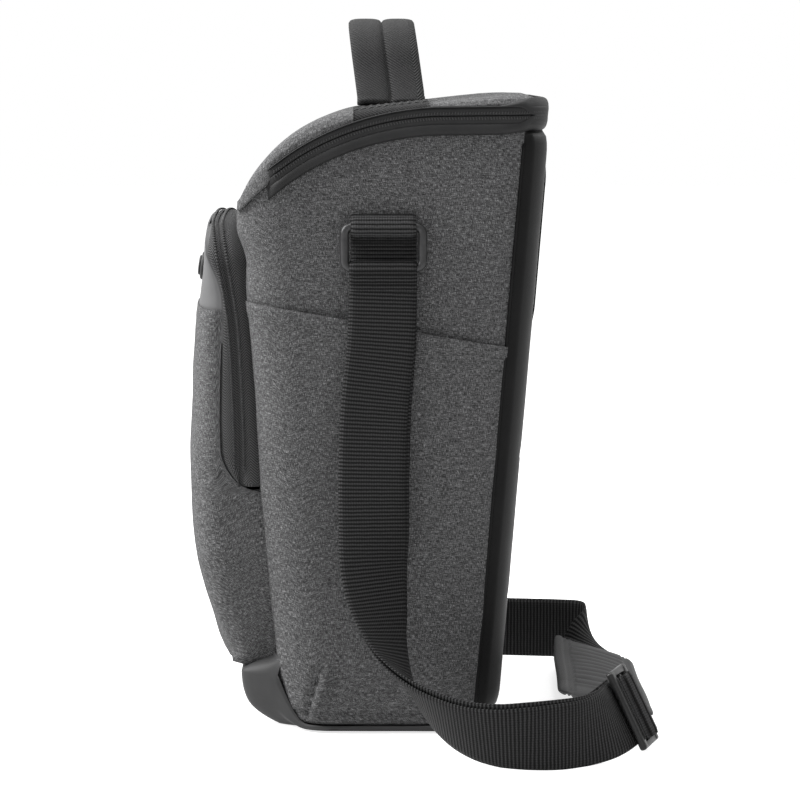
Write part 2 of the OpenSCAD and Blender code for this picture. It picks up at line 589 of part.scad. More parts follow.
module strap_outer_layer() color(BLACK) ribbon(near_route, 4, -layer_off, strap_w, strap_t);
module strap_inner_layer() color(BLACK) ribbon(near_route, 4, layer_off, strap_w, strap_t);
module strap_far_run() color(BLACK) ribbon(far_route, 2, 0, strap_w, strap_t);

// Three-bar buckle over the strap, and the webbing that turns round its middle bar
frame_l = 22;
frame_w = 37;
module at_adjuster() {
    n = cross(adjuster_along, adjuster_across);
    multmatrix([for (k = [0 : 2]) [adjuster_along[k], adjuster_across[k], n[k], adjuster_at[k]]]) children();
}
module adjuster_frame() color("#232325") at_adjuster() translate([0, 0, 2.8]) {
    for (x = [-frame_l / 2, -2, frame_l / 2 - 4]) translate([x, -frame_w / 2, 0]) cube([4, frame_w, 2.2]);
    for (y = [-frame_w / 2, frame_w / 2 - 3]) translate([-frame_l / 2, y, 0]) cube([frame_l, 3, 2.2]);
}
module adjuster_webbing() color(BLACK) at_adjuster() translate([0, (frame_w - 7) / 2, 5.2])
    rotate([90, 0, 0]) linear_extrude(frame_w - 7)
        polygon([[-8, 0], [-6, 1.6], [-2, 2.8], [2, 2.8], [6, 1.6], [8, 0]]);

// Padded sleeve round the strap, which lies on the floor behind the bag
pad_xs = [60, 50, 25, 0, -25, -48, -60];
pad_tilt = 11;
module shoulder_pad() {
    half = [[-1, -0.3], [-0.8, -0.5], [0.8, -0.5], [1, -0.3]];
    function pad_ring(x, w, t) = let (c = [x, 112.5, 9.4 + max(0, x - 40) * 0.07],
        u = [0, -cos(pad_tilt), sin(pad_tilt)], n = [0, sin(pad_tilt), cos(pad_tilt)])
        [for (side = [1, -1], p = half) c + side * (u * p[0] * w / 2 + n * p[1] * t)];
    color("#4a4a4c") sheet([for (x = pad_xs) pad_ring(x, 47, 8)], [for (x = pad_xs) pad_ring(x, 35, 3.6)],
        closed = true);
}

// ---- inside ----

divider_t = 8;
divider_y = 22;
divider_half = 67;
divider_top = 150;
module padded_divider() color("#77777a") translate([0, divider_y + divider_t, lining_z + lining_t + 0.5])
    rotate([90, 0, 0]) linear_extrude(divider_t) polygon([
        [-divider_half + 10, 0], [divider_half - 10, 0], [divider_half - 1, 9],
        [divider_half + 3, divider_top - 24],
        [divider_half - 3, divider_top - 14], [-divider_half + 3, divider_top - 14],
        [-divider_half - 3, divider_top - 24], [1 - divider_half, 9]]);

module side_pocket_right() side_pocket(1);
module side_pocket_left() side_pocket(-1);

body_cover();
body_foam();
body_lining();
base_board();
base_boot();
back_panel();
belt_loop();
side_pocket_right();
side_pocket_left();
zip_band_lower();
zip_coil_lower();
strap_anchor_right();
strap_anchor_left();
padded_divider();
pocket_shell();
pocket_rear_gusset();
pocket_coil_rear();
lid_cover();
lid_foam();
lid_lining();
zip_band_upper();
zip_coil_upper();
carry_handle();
handle_foot_right();
handle_foot_left();
lid_slider_rear();
lid_slider_front();
lid_pull_rear();
lid_pull_front();
flap_panel();
flap_front_gusset();
pocket_coil_front();
slip_pocket();
flap_facing();
flap_stud();
pocket_slider();
pocket_pull();
ring_right();
ring_left();
strap_loop_right();
strap_loop_left();
strap_outer_layer();
strap_inner_layer();
strap_far_run();
adjuster_frame();
adjuster_webbing();
shoulder_pad();
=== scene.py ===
"""Looks of the camera bag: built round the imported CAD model, in its frame.

Shapes are worked out in millimetres and made in metres. +X is the side seen by the camera,
-Y the bag's front, +Z up.
"""
import math

import bpy
import numpy as np
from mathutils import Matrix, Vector, noise


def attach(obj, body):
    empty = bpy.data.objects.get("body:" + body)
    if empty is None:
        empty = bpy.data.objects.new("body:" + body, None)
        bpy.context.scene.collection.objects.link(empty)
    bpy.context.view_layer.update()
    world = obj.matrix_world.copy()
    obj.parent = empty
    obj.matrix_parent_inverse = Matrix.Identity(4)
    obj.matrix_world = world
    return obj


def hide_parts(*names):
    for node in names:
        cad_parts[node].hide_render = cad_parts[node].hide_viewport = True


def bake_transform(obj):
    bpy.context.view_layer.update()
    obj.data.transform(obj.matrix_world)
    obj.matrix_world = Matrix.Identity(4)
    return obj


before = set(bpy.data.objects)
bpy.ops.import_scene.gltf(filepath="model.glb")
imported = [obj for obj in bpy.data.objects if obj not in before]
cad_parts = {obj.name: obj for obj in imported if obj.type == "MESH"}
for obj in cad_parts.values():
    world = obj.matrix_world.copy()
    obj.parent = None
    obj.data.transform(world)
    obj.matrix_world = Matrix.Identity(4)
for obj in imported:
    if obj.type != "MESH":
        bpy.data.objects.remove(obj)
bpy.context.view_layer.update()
MM = 0.001
PI = math.pi

# ---------------------------------------------------------------- camera, light and floor

CAMERA_AT = (1.3, 0.0155, 0.3)
CAMERA_TILT_DEG = 6.82
FOCAL_MM = 123.0


def add_camera():
    data = bpy.data.cameras.new("camera")
    data.lens = FOCAL_MM
    data.sensor_width = 36
    camera = bpy.data.objects.new("camera", data)
    camera.location = CAMERA_AT
    camera.rotation_euler = (math.radians(90 - CAMERA_TILT_DEG), 0, math.radians(90))
    bpy.context.scene.collection.objects.link(camera)
    bpy.context.scene.camera = camera


def area_light(name, at, towards, size, watts):
    data = bpy.data.lights.new(name, "AREA")
    data.shape = "RECTANGLE"
    data.size = size[0]
    data.size_y = size[1]
    data.energy = watts
    lamp = bpy.data.objects.new(name, data)
    lamp.location = at
    lamp.rotation_euler = (Vector(towards) - Vector(at)).to_track_quat("-Z", "Y").to_euler()
    bpy.context.scene.collection.objects.link(lamp)


def add_studio():
    area_light("key", (0.02, -1.4, 1.2), (0, 0, 0.15), (1.1, 1.1), 88)
    area_light("rim", (-0.6, 1.1, 1.0), (0, 0, 0.15), (0.8, 0.8), 9)
    area_light("top", (0, -0.1, 1.5), (0, 0, 0.25), (0.9, 0.9), 26)
    world = bpy.data.worlds.new("studio")
    world.use_nodes = True
    background = world.node_tree.nodes["Background"]
    background.inputs["Color"].default_value = (1, 1, 1, 1)
    background.inputs["Strength"].default_value = 1.0
    bpy.context.scene.world = world
    bpy.context.scene.view_settings.view_transform = "Standard"


add_camera()
add_studio()

# ---------------------------------------------------------------- materials


class Shader:
    """A material's node tree, built one node at a time."""

    def __init__(self, name):
        self.material = bpy.data.materials.new(name)
        self.material.use_nodes = True
        self.tree = self.material.node_tree
        self.bsdf = self.tree.nodes["Principled BSDF"]

    def set(self, node, key, value):
        socket = node.inputs[key]
        if isinstance(value, bpy.types.NodeSocket):
            self.tree.links.new(value, socket)
        else:
            socket.default_value = value

    def node(self, kind, inputs=(), out=0, **settings):
        made = self.tree.nodes.new(kind)
        for name, value in settings.items():
            setattr(made, name, value)
        for key, value in dict(inputs).items():
            self.set(made, key, value)
        return made.outputs[out]

    def math(self, operation, *values):
        return self.node("ShaderNodeMath", dict(enumerate(values)), operation=operation)

    def uv(self, across=1.0, along=1.0):
        """The surface's own millimetres, scaled."""
        raw = self.node("ShaderNodeUVMap")
        return self.node("ShaderNodeVectorMath", {0: raw, 1: (across, along, 1)}, operation="MULTIPLY")

    def split(self, vector):
        made = self.tree.nodes.new("ShaderNodeSeparateXYZ")
        self.tree.links.new(vector, made.inputs[0])
        return made.outputs[0], made.outputs[1]

    def noise(self, vector, scale=1.0, detail=2.0, rough=0.5):
        return self.node("ShaderNodeTexNoise",
                         {"Vector": vector, "Scale": scale, "Detail": detail, "Roughness": rough})

    def ramp(self, value, stops):
        made = self.tree.nodes.new("ShaderNodeValToRGB")
        self.tree.links.new(value, made.inputs[0])
        elements = made.color_ramp.elements
        while len(elements) < len(stops):
            elements.new(0.5)
        for element, (place, shade) in zip(elements, stops):
            element.position = place
            element.color = (shade, shade, shade * 1.015, 1)
        return made.outputs[0]

    def mix(self, share, a, b):
        made = self.tree.nodes.new("ShaderNodeMix")
        made.data_type = "RGBA"
        for key, value in ((0, share), (6, a), (7, b)):
            self.set(made, key, value)
        return made.outputs[2]

    def bump(self, height, strength, distance, after=None):
        inputs = {"Height": height, "Strength": strength, "Distance": distance}
        if after is not None:
            inputs["Normal"] = after
        return self.node("ShaderNodeBump", inputs)

    def finish(self, **inputs):
        for key, value in inputs.items():
            self.set(self.bsdf, key.replace("_", " "), value)
        return self.material


def grey(shade):
    return (shade, shade, shade * 1.015, 1)


def woven_grey(name="grey_woven_fabric"):
    """Heather cloth: light and dark yarns, uneven in thickness, crossing at right angles."""
    s = Shader(name)
    warp = s.noise(s.uv(3.7, 0.5), 1.0, 2.0, 0.55)
    weft = s.noise(s.uv(0.5, 3.7), 1.0, 2.0, 0.55)
    slub = s.noise(s.uv(0.16, 0.9), 1.0, 2.0)
    yarns = s.math("MULTIPLY_ADD", s.math("ADD", warp, weft), 0.5, s.math("MULTIPLY", slub, 0.16))
    cloth = s.ramp(yarns, [(0.42, 0.009), (0.53, 0.029), (0.62, 0.07), (0.74, 0.185)])
    u, v = s.split(s.uv(PI / 0.5, PI / 0.5))
    knots = s.math("MULTIPLY", s.math("SINE", u), s.math("SINE", v))
    cloth = s.mix(s.math("MULTIPLY_ADD", knots, 0.12, 0.12), cloth, grey(0.02))
    height = s.math("MULTIPLY_ADD", knots, 0.3, yarns)
    soft = s.bump(s.noise(s.uv(0.02, 0.02), 1.0, 3.0), 0.25, 0.004)
    return s.finish(Base_Color=cloth, Roughness=0.9, Normal=s.bump(height, 0.5, 0.0004, soft),
                    Specular_IOR_Level=0.12)


def webbing(name, pitch, low, high, shine=0.6):
    """Woven tape with ribs across it, knotted by the warp yarns along it."""
    s = Shader(name)
    u, v = s.split(s.uv(2 * PI / 1.15, 2 * PI / pitch))
    waver = s.math("MULTIPLY", s.noise(s.uv(0.25, 0.25)), 1.1)
    rib = s.math("MULTIPLY_ADD", s.math("SINE", s.math("ADD", v, waver)), 0.5, 0.5)
    warp = s.math("MULTIPLY_ADD", s.math("SINE", u), 0.5, 0.5)
    fuzz = s.noise(s.uv(2.5, 2.5), 1.0, 2.0)
    height = s.math("ADD", s.math("MULTIPLY_ADD", warp, 0.3, rib), s.math("MULTIPLY", fuzz, 0.3))
    # painted shade and light: the colour follows the ribs' height, darker in the hollows between ribs and
    # lighter on their tops; the fuzz in it is random tone
    tone = s.ramp(s.math("MULTIPLY", height, 0.6), [(0.3, low), (0.85, high)])
    return s.finish(Base_Color=tone, Roughness=shine, Specular_IOR_Level=0.08,
                    Normal=s.bump(height, 0.7, 0.0006))


def twill(name, pitch, zigzag, low, high):
    """Black twill: fine slanting ribs that turn back every zigzag millimetres."""
    s = Shader(name)
    u, v = s.split(s.uv())
    fold = s.math("PINGPONG", u, zigzag)
    slant = s.math("MULTIPLY", s.math("ADD", fold, v), 2 * PI / pitch)
    rib = s.math("MULTIPLY_ADD", s.math("SINE", slant), 0.5, 0.5)
    fuzz = s.noise(s.uv(2.2, 2.2), 1.0, 3.0)
    height = s.math("MULTIPLY_ADD", fuzz, 0.5, rib)
    # painted shade and light: the colour follows the ribs' height, darker in the hollows between the
    # slanting ribs and lighter on their tops; the fuzz in it is random tone
    tone = s.ramp(s.math("MULTIPLY", height, 0.66), [(0.1, low), (0.85, high)])
    return s.finish(Base_Color=tone, Roughness=0.75, Specular_IOR_Level=0.15,
                    Normal=s.bump(height, 0.8, 0.0005))


def coated(name, low, high, rough, grain=0.35, shine=0.22):
    """Smooth coated cloth with a fine leather-like grain."""
    s = Shader(name)
    cells = s.node("ShaderNodeTexVoronoi", {"Vector": s.uv(1.1, 1.1), "Scale": 1.0},
                   feature="DISTANCE_TO_EDGE")
    cloud = s.noise(s.uv(0.05, 0.05), 1.0, 4.0)
    tone = s.ramp(cloud, [(0.3, low), (0.7, high)])
    polish = s.math("MULTIPLY_ADD", cloud, 0.14, rough - 0.07)
    height = s.math("ADD", s.math("MINIMUM", cells, 0.18), s.math("MULTIPLY", s.noise(s.uv(1.6, 1.6)), 0.16))
    return s.finish(Base_Color=tone, Roughness=polish, Specular_IOR_Level=shine,
                    Normal=s.bump(height, grain, 0.0003))


def plain(name, low, high, rough, metallic=0.0, scale=0.3, depth=0.0001):
    """Plastic, metal, thread or foam with a faint unevenness."""
    s = Shader(name)
    spots = s.noise(s.uv(scale, scale), 1.0, 4.0)
    tone = s.ramp(spots, [(0.3, low), (0.7, high)])
    polish = s.math("MULTIPLY_ADD", spots, 0.16, rough - 0.08)
    return s.finish(Base_Color=tone, Roughness=polish, Metallic=metallic, Specular_IOR_Level=0.25,
                    Normal=s.bump(spots, 0.4, depth))


GREY_CLOTH = woven_grey()
STRAP_WEB = webbing("strap_webbing", 1.7, 0.002, 0.026)
LOOP_WEB = webbing("loop_webbing", 1.9, 0.003, 0.034)
HANDLE_WEB = twill("handle_webbing", 1.5, 60.0, 0.003, 0.021)
TAPE = twill("zip_twill", 1.25, 3.2, 0.004, 0.06)
BAND_COAT = coated("zip_band_coated_fabric", 0.011, 0.017, 0.6, 0.25, 0.12)
BLACK_COAT = coated("black_coated_fabric", 0.003, 0.005, 0.5, 0.35, 0.09)
GREY_COAT = coated("grey_coated_fabric", 0.019, 0.027, 0.58, 0.3, 0.16)
FACE_COAT = coated("facing_coated_fabric", 0.056, 0.067, 0.6, 0.12, 0.15)
PAD_COAT = coated("pad_coated_fabric", 0.025, 0.036, 0.6, 0.6, 0.13)
LINING = twill("grey_lining", 0.9, 400.0, 0.12, 0.24)
FOAM = plain("closed_cell_foam", 0.5, 0.62, 0.9, scale=1.2, depth=0.0006)
COIL = plain("zip_coil_nylon", 0.016, 0.026, 0.55)
METAL = plain("black_nickel", 0.03, 0.045, 0.42, metallic=0.8)
ACETAL = plain("black_acetal", 0.005, 0.009, 0.34, scale=0.8)
BOARD = plain("board_plastic", 0.02, 0.03, 0.5)
THREAD_BLACK = plain("black_thread", 0.02, 0.035, 0.6, scale=3)
THREAD_GREY = plain("grey_thread", 0.05, 0.085, 0.7, scale=3)

# ---------------------------------------------------------------- mesh tools


def make_object(name, points, faces, uvs, material, smooth=True):
    """points in millimetres; uvs holds one pair per face corner, in millimetres."""
    mesh = bpy.data.meshes.new(name)
    mesh.from_pydata((np.asarray(points) * MM).tolist(), [], faces)
    layer = mesh.uv_layers.new(name="uv")
    layer.data.foreach_set("uv", np.asarray(uvs, np.float32).ravel())
    mesh.polygons.foreach_set("use_smooth", [smooth] * len(mesh.polygons))
    mesh.materials.append(material)
    mesh.update()
    made = bpy.data.objects.new(name, mesh)
    bpy.context.scene.collection.objects.link(made)
    return made


def grid_normals(grid, closed):
    if closed:
        du = np.roll(grid, -1, 1) - np.roll(grid, 1, 1)
    else:
        du = np.gradient(grid, axis=1)
    dv = np.gradient(grid, axis=0)
    normal = np.cross(du, dv)
    return normal / np.maximum(np.linalg.norm(normal, axis=2, keepdims=True), 1e-9)


def arc_lengths(grid, axis, closed=False):
    steps = np.linalg.norm(np.diff(grid, axis=axis), axis=2)
    zero = np.zeros_like(np.take(steps, [0], axis=axis))
    return np.concatenate([zero, np.cumsum(steps, axis=axis)], axis=axis)


def sheet_piece(name, grid, material, thick=0.0, closed=False, shift=(0.0, 0.0), layout=None):
    """A smooth skin through a grid of points. It has an inside face where thick is above 0."""
    rows, cols = grid.shape[:2]
    normal = grid_normals(grid, closed)
    around = np.concatenate([grid, grid[:, :1]], axis=1) if closed else grid
    u = arc_lengths(around, 1) + shift[0]
    v = arc_lengths(around, 0) + shift[1]
    if layout is not None:
        u, v = layout
    faces = []
    uvs = []

    def quad(ids, corners):
        faces.append(ids)
        uvs.extend(corners)

    last = cols if closed else cols - 1
    inner = rows * cols
    for i in range(rows - 1):
        for j in range(last):
            k = (j + 1) % cols
            a, b, c, d = i * cols + j, i * cols + k, (i + 1) * cols + k, (i + 1) * cols + j
            corners = [(u[i, j], v[i, j]), (u[i, j + 1], v[i, j + 1]),
                       (u[i + 1, j + 1], v[i + 1, j + 1]), (u[i + 1, j], v[i + 1, j])]
            quad((a, b, c, d), corners)
            if thick:
                quad((d + inner, c + inner, b + inner, a + inner), corners[::-1])
    points = grid.reshape(-1, 3)
    if thick:
        points = np.concatenate([points, (grid - normal * thick).reshape(-1, 3)])
        for i, flip in ((0, False), (rows - 1, True)):
            for j in range(last):
                k = (j + 1) % cols
                ids = (i * cols + k, i * cols + j, i * cols + j + inner, i * cols + k + inner)
                corners = [(u[i, j + 1], v[i, j]), (u[i, j], v[i, j]),
                           (u[i, j], v[i, j] - thick), (u[i, j + 1], v[i, j] - thick)]
                quad(ids[::-1] if flip else ids, corners[::-1] if flip else corners)
        if not closed:
            for j, flip in ((0, True), (cols - 1, False)):
                for i in range(rows - 1):
                    a, b = i * cols + j, (i + 1) * cols + j
                    ids = (b, a, a + inner, b + inner)
                    corners = [(u[i, j], v[i + 1, j]), (u[i, j], v[i, j]),
                               (u[i, j] - thick, v[i, j]), (u[i, j] - thick, v[i + 1, j])]
                    quad(ids if flip else ids[::-1], corners if flip else corners[::-1])
    return make_object(name, points, faces, uvs, material)


def resample(line, step):
    """The same line with points evenly spaced."""
    line = np.asarray(line, float)
    far = np.concatenate([[0], np.cumsum(np.linalg.norm(np.diff(line, axis=0), axis=1))])
    count = max(2, int(round(far[-1] / step)) + 1)
    at = np.linspace(0, far[-1], count)
    return np.stack([np.interp(at, far, line[:, k]) for k in range(line.shape[1])], axis=1)


def tangents(line):
    direction = np.gradient(line, axis=0)
    return direction / np.maximum(np.linalg.norm(direction, axis=1, keepdims=True), 1e-9)


def cross_unit(a, b):
    c = np.cross(a, b)
    return c / np.maximum(np.linalg.norm(c, axis=-1, keepdims=True), 1e-9)


def swept(name, line, up, profile, material, closed=False, caps=True):
    """profile, a closed loop of (sideways, up) millimetres, carried along line; up is one vector a point."""
    line = np.asarray(line, float)
    t = tangents(line)
    if closed:
        t = np.roll(line, -1, 0) - np.roll(line, 1, 0)
        t = t / np.linalg.norm(t, axis=1, keepdims=True)
    side = cross_unit(t, np.broadcast_to(up, t.shape))
    top = np.cross(side, t)
    profile = np.asarray(profile, float)
    grid = line[:, None] + side[:, None] * profile[None, :, :1] + top[:, None] * profile[None, :, 1:]
    rows, cols = grid.shape[:2]
    edge = np.concatenate([profile, profile[:1]])
    u = np.concatenate([[0], np.cumsum(np.linalg.norm(np.diff(edge, axis=0), axis=1))])
    ring = np.concatenate([line, line[:1]]) if closed else line
    v = np.concatenate([[0], np.cumsum(np.linalg.norm(np.diff(ring, axis=0), axis=1))])
    faces = []
    uvs = []
    for i in range(rows if closed else rows - 1):
        n = (i + 1) % rows
        for j in range(cols):
            k = (j + 1) % cols
            faces.append((i * cols + j, n * cols + j, n * cols + k, i * cols + k))
            uvs += [(u[j], v[i]), (u[j], v[i + 1]), (u[j + 1], v[i + 1]), (u[j + 1], v[i])]
    if caps and not closed:
        for base, order in ((0, 1), ((rows - 1) * cols, -1)):
            faces.append(tuple(base + j for j in range(cols))[::order])
            uvs += [(p[0], p[1]) for p in profile][::order]
    return make_object(name, grid.reshape(-1, 3), faces, uvs, material)


def circle(radius, count=12):
    angles = np.arange(count) * 2 * PI / count
    return np.stack([radius * np.cos(angles), radius * np.sin(angles)], axis=1)


def stitches(name, line, normal, material, length=2.3, gap=1.1, radius=0.32, lift=0.1):
    """Short thread capsules along a line on a surface whose outward normal is given for each point."""
    joined = np.concatenate([np.asarray(line, float), np.broadcast_to(normal, np.shape(line))], axis=1)
    fine = resample(joined, 0.25)
    place = np.concatenate([[0], np.cumsum(np.linalg.norm(np.diff(fine[:, :3], axis=0), axis=1))])
    sections = ((-1.0, 0.35, -0.7), (-0.8, 0.8, -0.1), (0.0, 1.0, 0.35), (0.8, 0.8, -0.1), (1.0, 0.35, -0.7))
    sides = 6
    points = []
    faces = []
    uvs = []
    start = 0.0
    while start + length < place[-1]:
        middle = start + length / 2
        p = np.array([np.interp(middle, place, fine[:, k]) for k in range(6)])
        ahead = np.array([np.interp(middle + 0.5, place, fine[:, k]) for k in range(3)]) - p[:3]
        t = ahead / max(np.linalg.norm(ahead), 1e-9)
        n = p[3:] - t * np.dot(p[3:], t)
        n /= max(np.linalg.norm(n), 1e-9)
        side = np.cross(t, n)
        base = len(points)
        for along, size, sink in sections:
            centre = p[:3] + t * along * length / 2 + n * (lift + sink * radius)
            for q in range(sides):
                angle = 2 * PI * q / sides
                points.append(centre + radius * size * (side * math.cos(angle) + n * math.sin(angle)))
        for ring in range(len(sections) - 1):
            for q in range(sides):
                a = base + ring * sides + q
                b = base + ring * sides + (q + 1) % sides
                faces.append((a, b, b + sides, a + sides))
                uvs += [(q, ring), (q + 1, ring), (q + 1, ring + 1), (q, ring + 1)]
        start += length + gap
    return make_object(name, points, faces, uvs, material)


def ride(piece, body, *nodes, slot=None):
    """The piece moves with body and stands for these CAD nodes, which are hidden; slot is not used."""
    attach(piece, body)
    if nodes:
        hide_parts(*nodes)
    return piece


def lumps(grid, size, depth, seed=0.0):
    """Gentle unevenness of soft cloth: one value for each point of a grid."""
    flat = grid.reshape(-1, 3) / size + seed
    values = [noise.noise(Vector(p)) for p in flat]
    return depth * np.array(values).reshape(grid.shape[:2])


# ---------------------------------------------------------------- the bag's form, as in the CAD

HALF_W_BASE, W_FLARE = 76.0, 0.034
FRONT_BASE, FRONT_LEAN = -35.7, 0.0865
BACK_BASE, BACK_LEAN = 57.2, 0.08
CORNER_R = 20.0
SOLE_T = 3.0
HINGE_Z = 241.3
N_HALF, N_CORNER, N_SIDE = 16, 15, 44
I_SIDE = N_HALF + N_CORNER
I_REAR = I_SIDE + N_SIDE
N_ARC = I_REAR + N_CORNER + N_HALF
N_RING = 2 * N_ARC
I_BAND = I_REAR + 6
COVER_T = 1.2


def ring_shares():
    """For each step round the bag: how x follows width and corner, and y follows depth and corner."""
    rows = []
    for i in range(N_ARC + 1):
        if i <= N_HALF:
            rows.append((i / N_HALF, 0, 0, -1))
        elif i <= I_SIDE:
            a = math.radians(-90 + 90 * (i - N_HALF) / N_CORNER)
            rows.append((1, math.cos(a), 0, math.sin(a)))
        elif i <= I_REAR:
            rows.append((1, 1, (i - I_SIDE) / N_SIDE, 0))
        elif i <= I_REAR + N_CORNER:
            a = math.radians(90 * (i - I_REAR) / N_CORNER)
            rows.append((1, math.cos(a), 1, math.sin(a)))
        else:
            rows.append(((N_ARC - i) / N_HALF, 0, 1, 1))
    rows += [(-a, -c, m, s) for a, c, m, s in rows[-2:0:-1]]
    return np.array(rows, float).T


WIDE, ROUND_X, DEEP, ROUND_Y = ring_shares()
ALL = np.arange(N_RING)


def wall_w(z):
    return HALF_W_BASE + W_FLARE * z


def wall_front(z):
    return FRONT_BASE - FRONT_LEAN * z


def wall_back(z):
    return BACK_BASE + BACK_LEAN * z


def wall(z, inset=0.0, ids=ALL):
    """Points round the bag at height z (one number, or one a step), moved inwards by inset."""
    z = np.broadcast_to(z, len(ids)).astype(float)
    inset = np.broadcast_to(inset, len(ids)).astype(float)
    r = np.maximum(CORNER_R - inset, 0.4)
    w, y0, y1 = wall_w(z) - inset, wall_front(z) + inset, wall_back(z) - inset
    m = DEEP[ids]
    x = WIDE[ids] * (w - r) + ROUND_X[ids] * r
    y = (y0 + r) * (1 - m) + (y1 - r) * m + ROUND_Y[ids] * r
    return np.stack([x, y, z], axis=1)


ZIP_R, ZIP_Y = 131.4, 36.8
ZIP_Z = HINGE_Z - math.sqrt(ZIP_R ** 2 - (57.5 + ZIP_Y) ** 2)
DOME_R, DOME_Y = 66.7, 5.0
DOME_Z = HINGE_Z - math.sqrt(DOME_R ** 2 - (57.5 + DOME_Y) ** 2)


def zip_line(y):
    y = np.asarray(y, float)
    arc = ZIP_Z + np.sqrt(ZIP_R ** 2 - (np.minimum(y, 31) - ZIP_Y) ** 2)
    return arc + 0.012 * np.maximum(y - 31, 0)


def crown(y):
    y = np.asarray(y, float)
    front = DOME_Z + np.sqrt(np.maximum(DOME_R ** 2 - (np.minimum(y, 0) - DOME_Y) ** 2, 0))
    return front + 0.1 * np.maximum(y, 0) - 0.0012 * np.maximum(y - 45, 0) ** 2


RIM_Y = wall(270)[:, 1]
RIM_Z = zip_line(np.maximum(RIM_Y, -56.4))


def side_share(ids=ALL):
    """1 in the middle of a side wall, falling to 0 at its ends and along the front and back."""
    m = (ids + N_RING) % N_RING
    m = np.where(m <= N_ARC, m, N_RING - m)
    return np.sin(PI * np.clip((m - I_SIDE) / N_SIDE, 0, 1)) ** 2


# How far the front corners' cloth bulges forward of the wall, by height
CORNER_BULGE = [(0, 1.0), (25, 3.2), (110, 3.4), (150, 1.7), (205, 1.0), (216, -0.3), (221, 0.6), (229, 3.0),
                (236, 2.4), (243, 1.6), (252, 0.6), (270, 0.3)]


def soft(z, inset=0.0, ids=ALL):
    """The wall with the side panels' slight fullness, and its fuller front corners."""
    z = np.broadcast_to(z, len(ids)).astype(float)
    full = 1.1 * side_share(ids) * np.sin(PI * np.clip(z / 275, 0, 1))
    points = wall(z, inset - full, ids)
    above = np.clip((z - 216) / 6, 0, 1)
    near_corner = np.maximum(np.clip((np.abs(points[:, 0]) - 50) / 8, 0, 1), above)
    points[:, 1] -= np.interp(z, *zip(*CORNER_BULGE)) * np.maximum(-ROUND_Y[ids], 0) * near_corner
    return points


def outward(grid, depth, closed=False):
    """The grid moved along its normals by depth, one value for each point."""
    return grid + grid_normals(grid, closed) * np.asarray(depth)[..., None]


# ---------------------------------------------------------------- strap

STRAP_W, STRAP_T = 30.0, 1.5
# Route of the strap from a ring down to the floor, and its half turn: (middle, towards the top edge)
HANG_ROUTE = [
    ((90, 8, 204.6), (0, -1, 0)), ((90.5, 7, 180), (0, -1, 0)), ((91, 4, 150), (0, -1, 0)),
    ((92, 3, 120), (0, -1, 0)), ((93, 3, 96), (0.1, -1, 0)), ((94.5, 3, 80), (0.3, -0.95, 0.05)),
    ((98, 5, 64), (0.5, -0.85, 0.15)), ((105, 9, 48), (0.68, -0.63, 0.37)),
    ((113, 15, 36), (0.7, -0.46, 0.54)), ((123, 25, 26), (0.64, -0.29, 0.71)),
    ((132, 36, 20), (0.54, -0.18, 0.82)), ((139, 47, 17), (0.45, -0.12, 0.88)),
    ((143.5, 59, 16), (0.35, -0.07, 0.93)), ((144.5, 71, 16), (0.2, -0.03, 0.97)),
    ((142, 84, 16), (0.05, 0, 1)), ((136, 95, 16), (0, 0, 1)),
]
ADJUSTER_AT = (104, 116, 17.5)
ADJUSTER_ALONG = (-0.94, 0.34, 0)
ADJUSTER_ACROSS = (-0.153, -0.423, 0.893)
NEAR_ROUTE = HANG_ROUTE + [
    ((126.5, 105.5, 16.6), (-0.08, -0.2, 0.97)), ((114.5, 112.2, 17.3), ADJUSTER_ACROSS),
    (ADJUSTER_AT, ADJUSTER_ACROSS),
]
PAD_ROUTE = [
    ((86, 121, 16.4), (-0.15, -0.45, 0.88)), ((78, 120, 14.4), (-0.1, -0.66, 0.74)),
    ((71, 116.5, 12.4), (0, -0.9, 0.42)), ((64, 113.4, 11.1), (0, -0.97, 0.24)),
    ((56, 112.5, 10.5), (0, -0.98, 0.19)), ((46, 112.5, 9.8), (0, -0.98, 0.19)),
    ((30, 112.5, 9.4), (0, -0.98, 0.19)), ((0, 112.5, 9.4), (0, -0.98, 0.19)),
    ((-30, 112.5, 9.4), (0, -0.98, 0.19)), ((-50, 112.5, 9.4), (0, -0.98, 0.19)),
    ((-61, 112.5, 9.5), (0, -0.98, 0.2)), ((-68, 113.5, 12), (0, -0.78, 0.62)),
    ((-76, 112.5, 15), (0.1, -0.3, 0.95)),
]
LEFT_ROUTE = [
    ((-90, 8, 204.6), (0, -1, 0)), ((-90.5, 7, 180), (0, -1, 0)), ((-91, 4, 150), (0, -1, 0)),
    ((-91.5, 3, 120), (0, -1, 0)), ((-92, 3, 98), (0, -1, 0.05)), ((-92, 5, 80), (0, -0.96, 0.28)),
    ((-92, 9, 64), (0, -0.86, 0.5)), ((-92, 15, 49), (0, -0.74, 0.67)),
    ((-92, 24, 36), (0, -0.56, 0.83)), ((-91.5, 36, 25), (0, -0.34, 0.94)),
    ((-91, 50, 18.5), (0, -0.15, 0.99)), ((-89.5, 66, 16.2), (0, -0.04, 1)),
    ((-87.5, 82, 16), (0, 0, 1)), ((-85.5, 96, 16), (0, 0, 1)), ((-82, 107, 16), (0, 0, 1)),
]
FAR_ROUTE = [((94, 119.6, 17.2), ADJUSTER_ACROSS)] + PAD_ROUTE + LEFT_ROUTE[::-1]


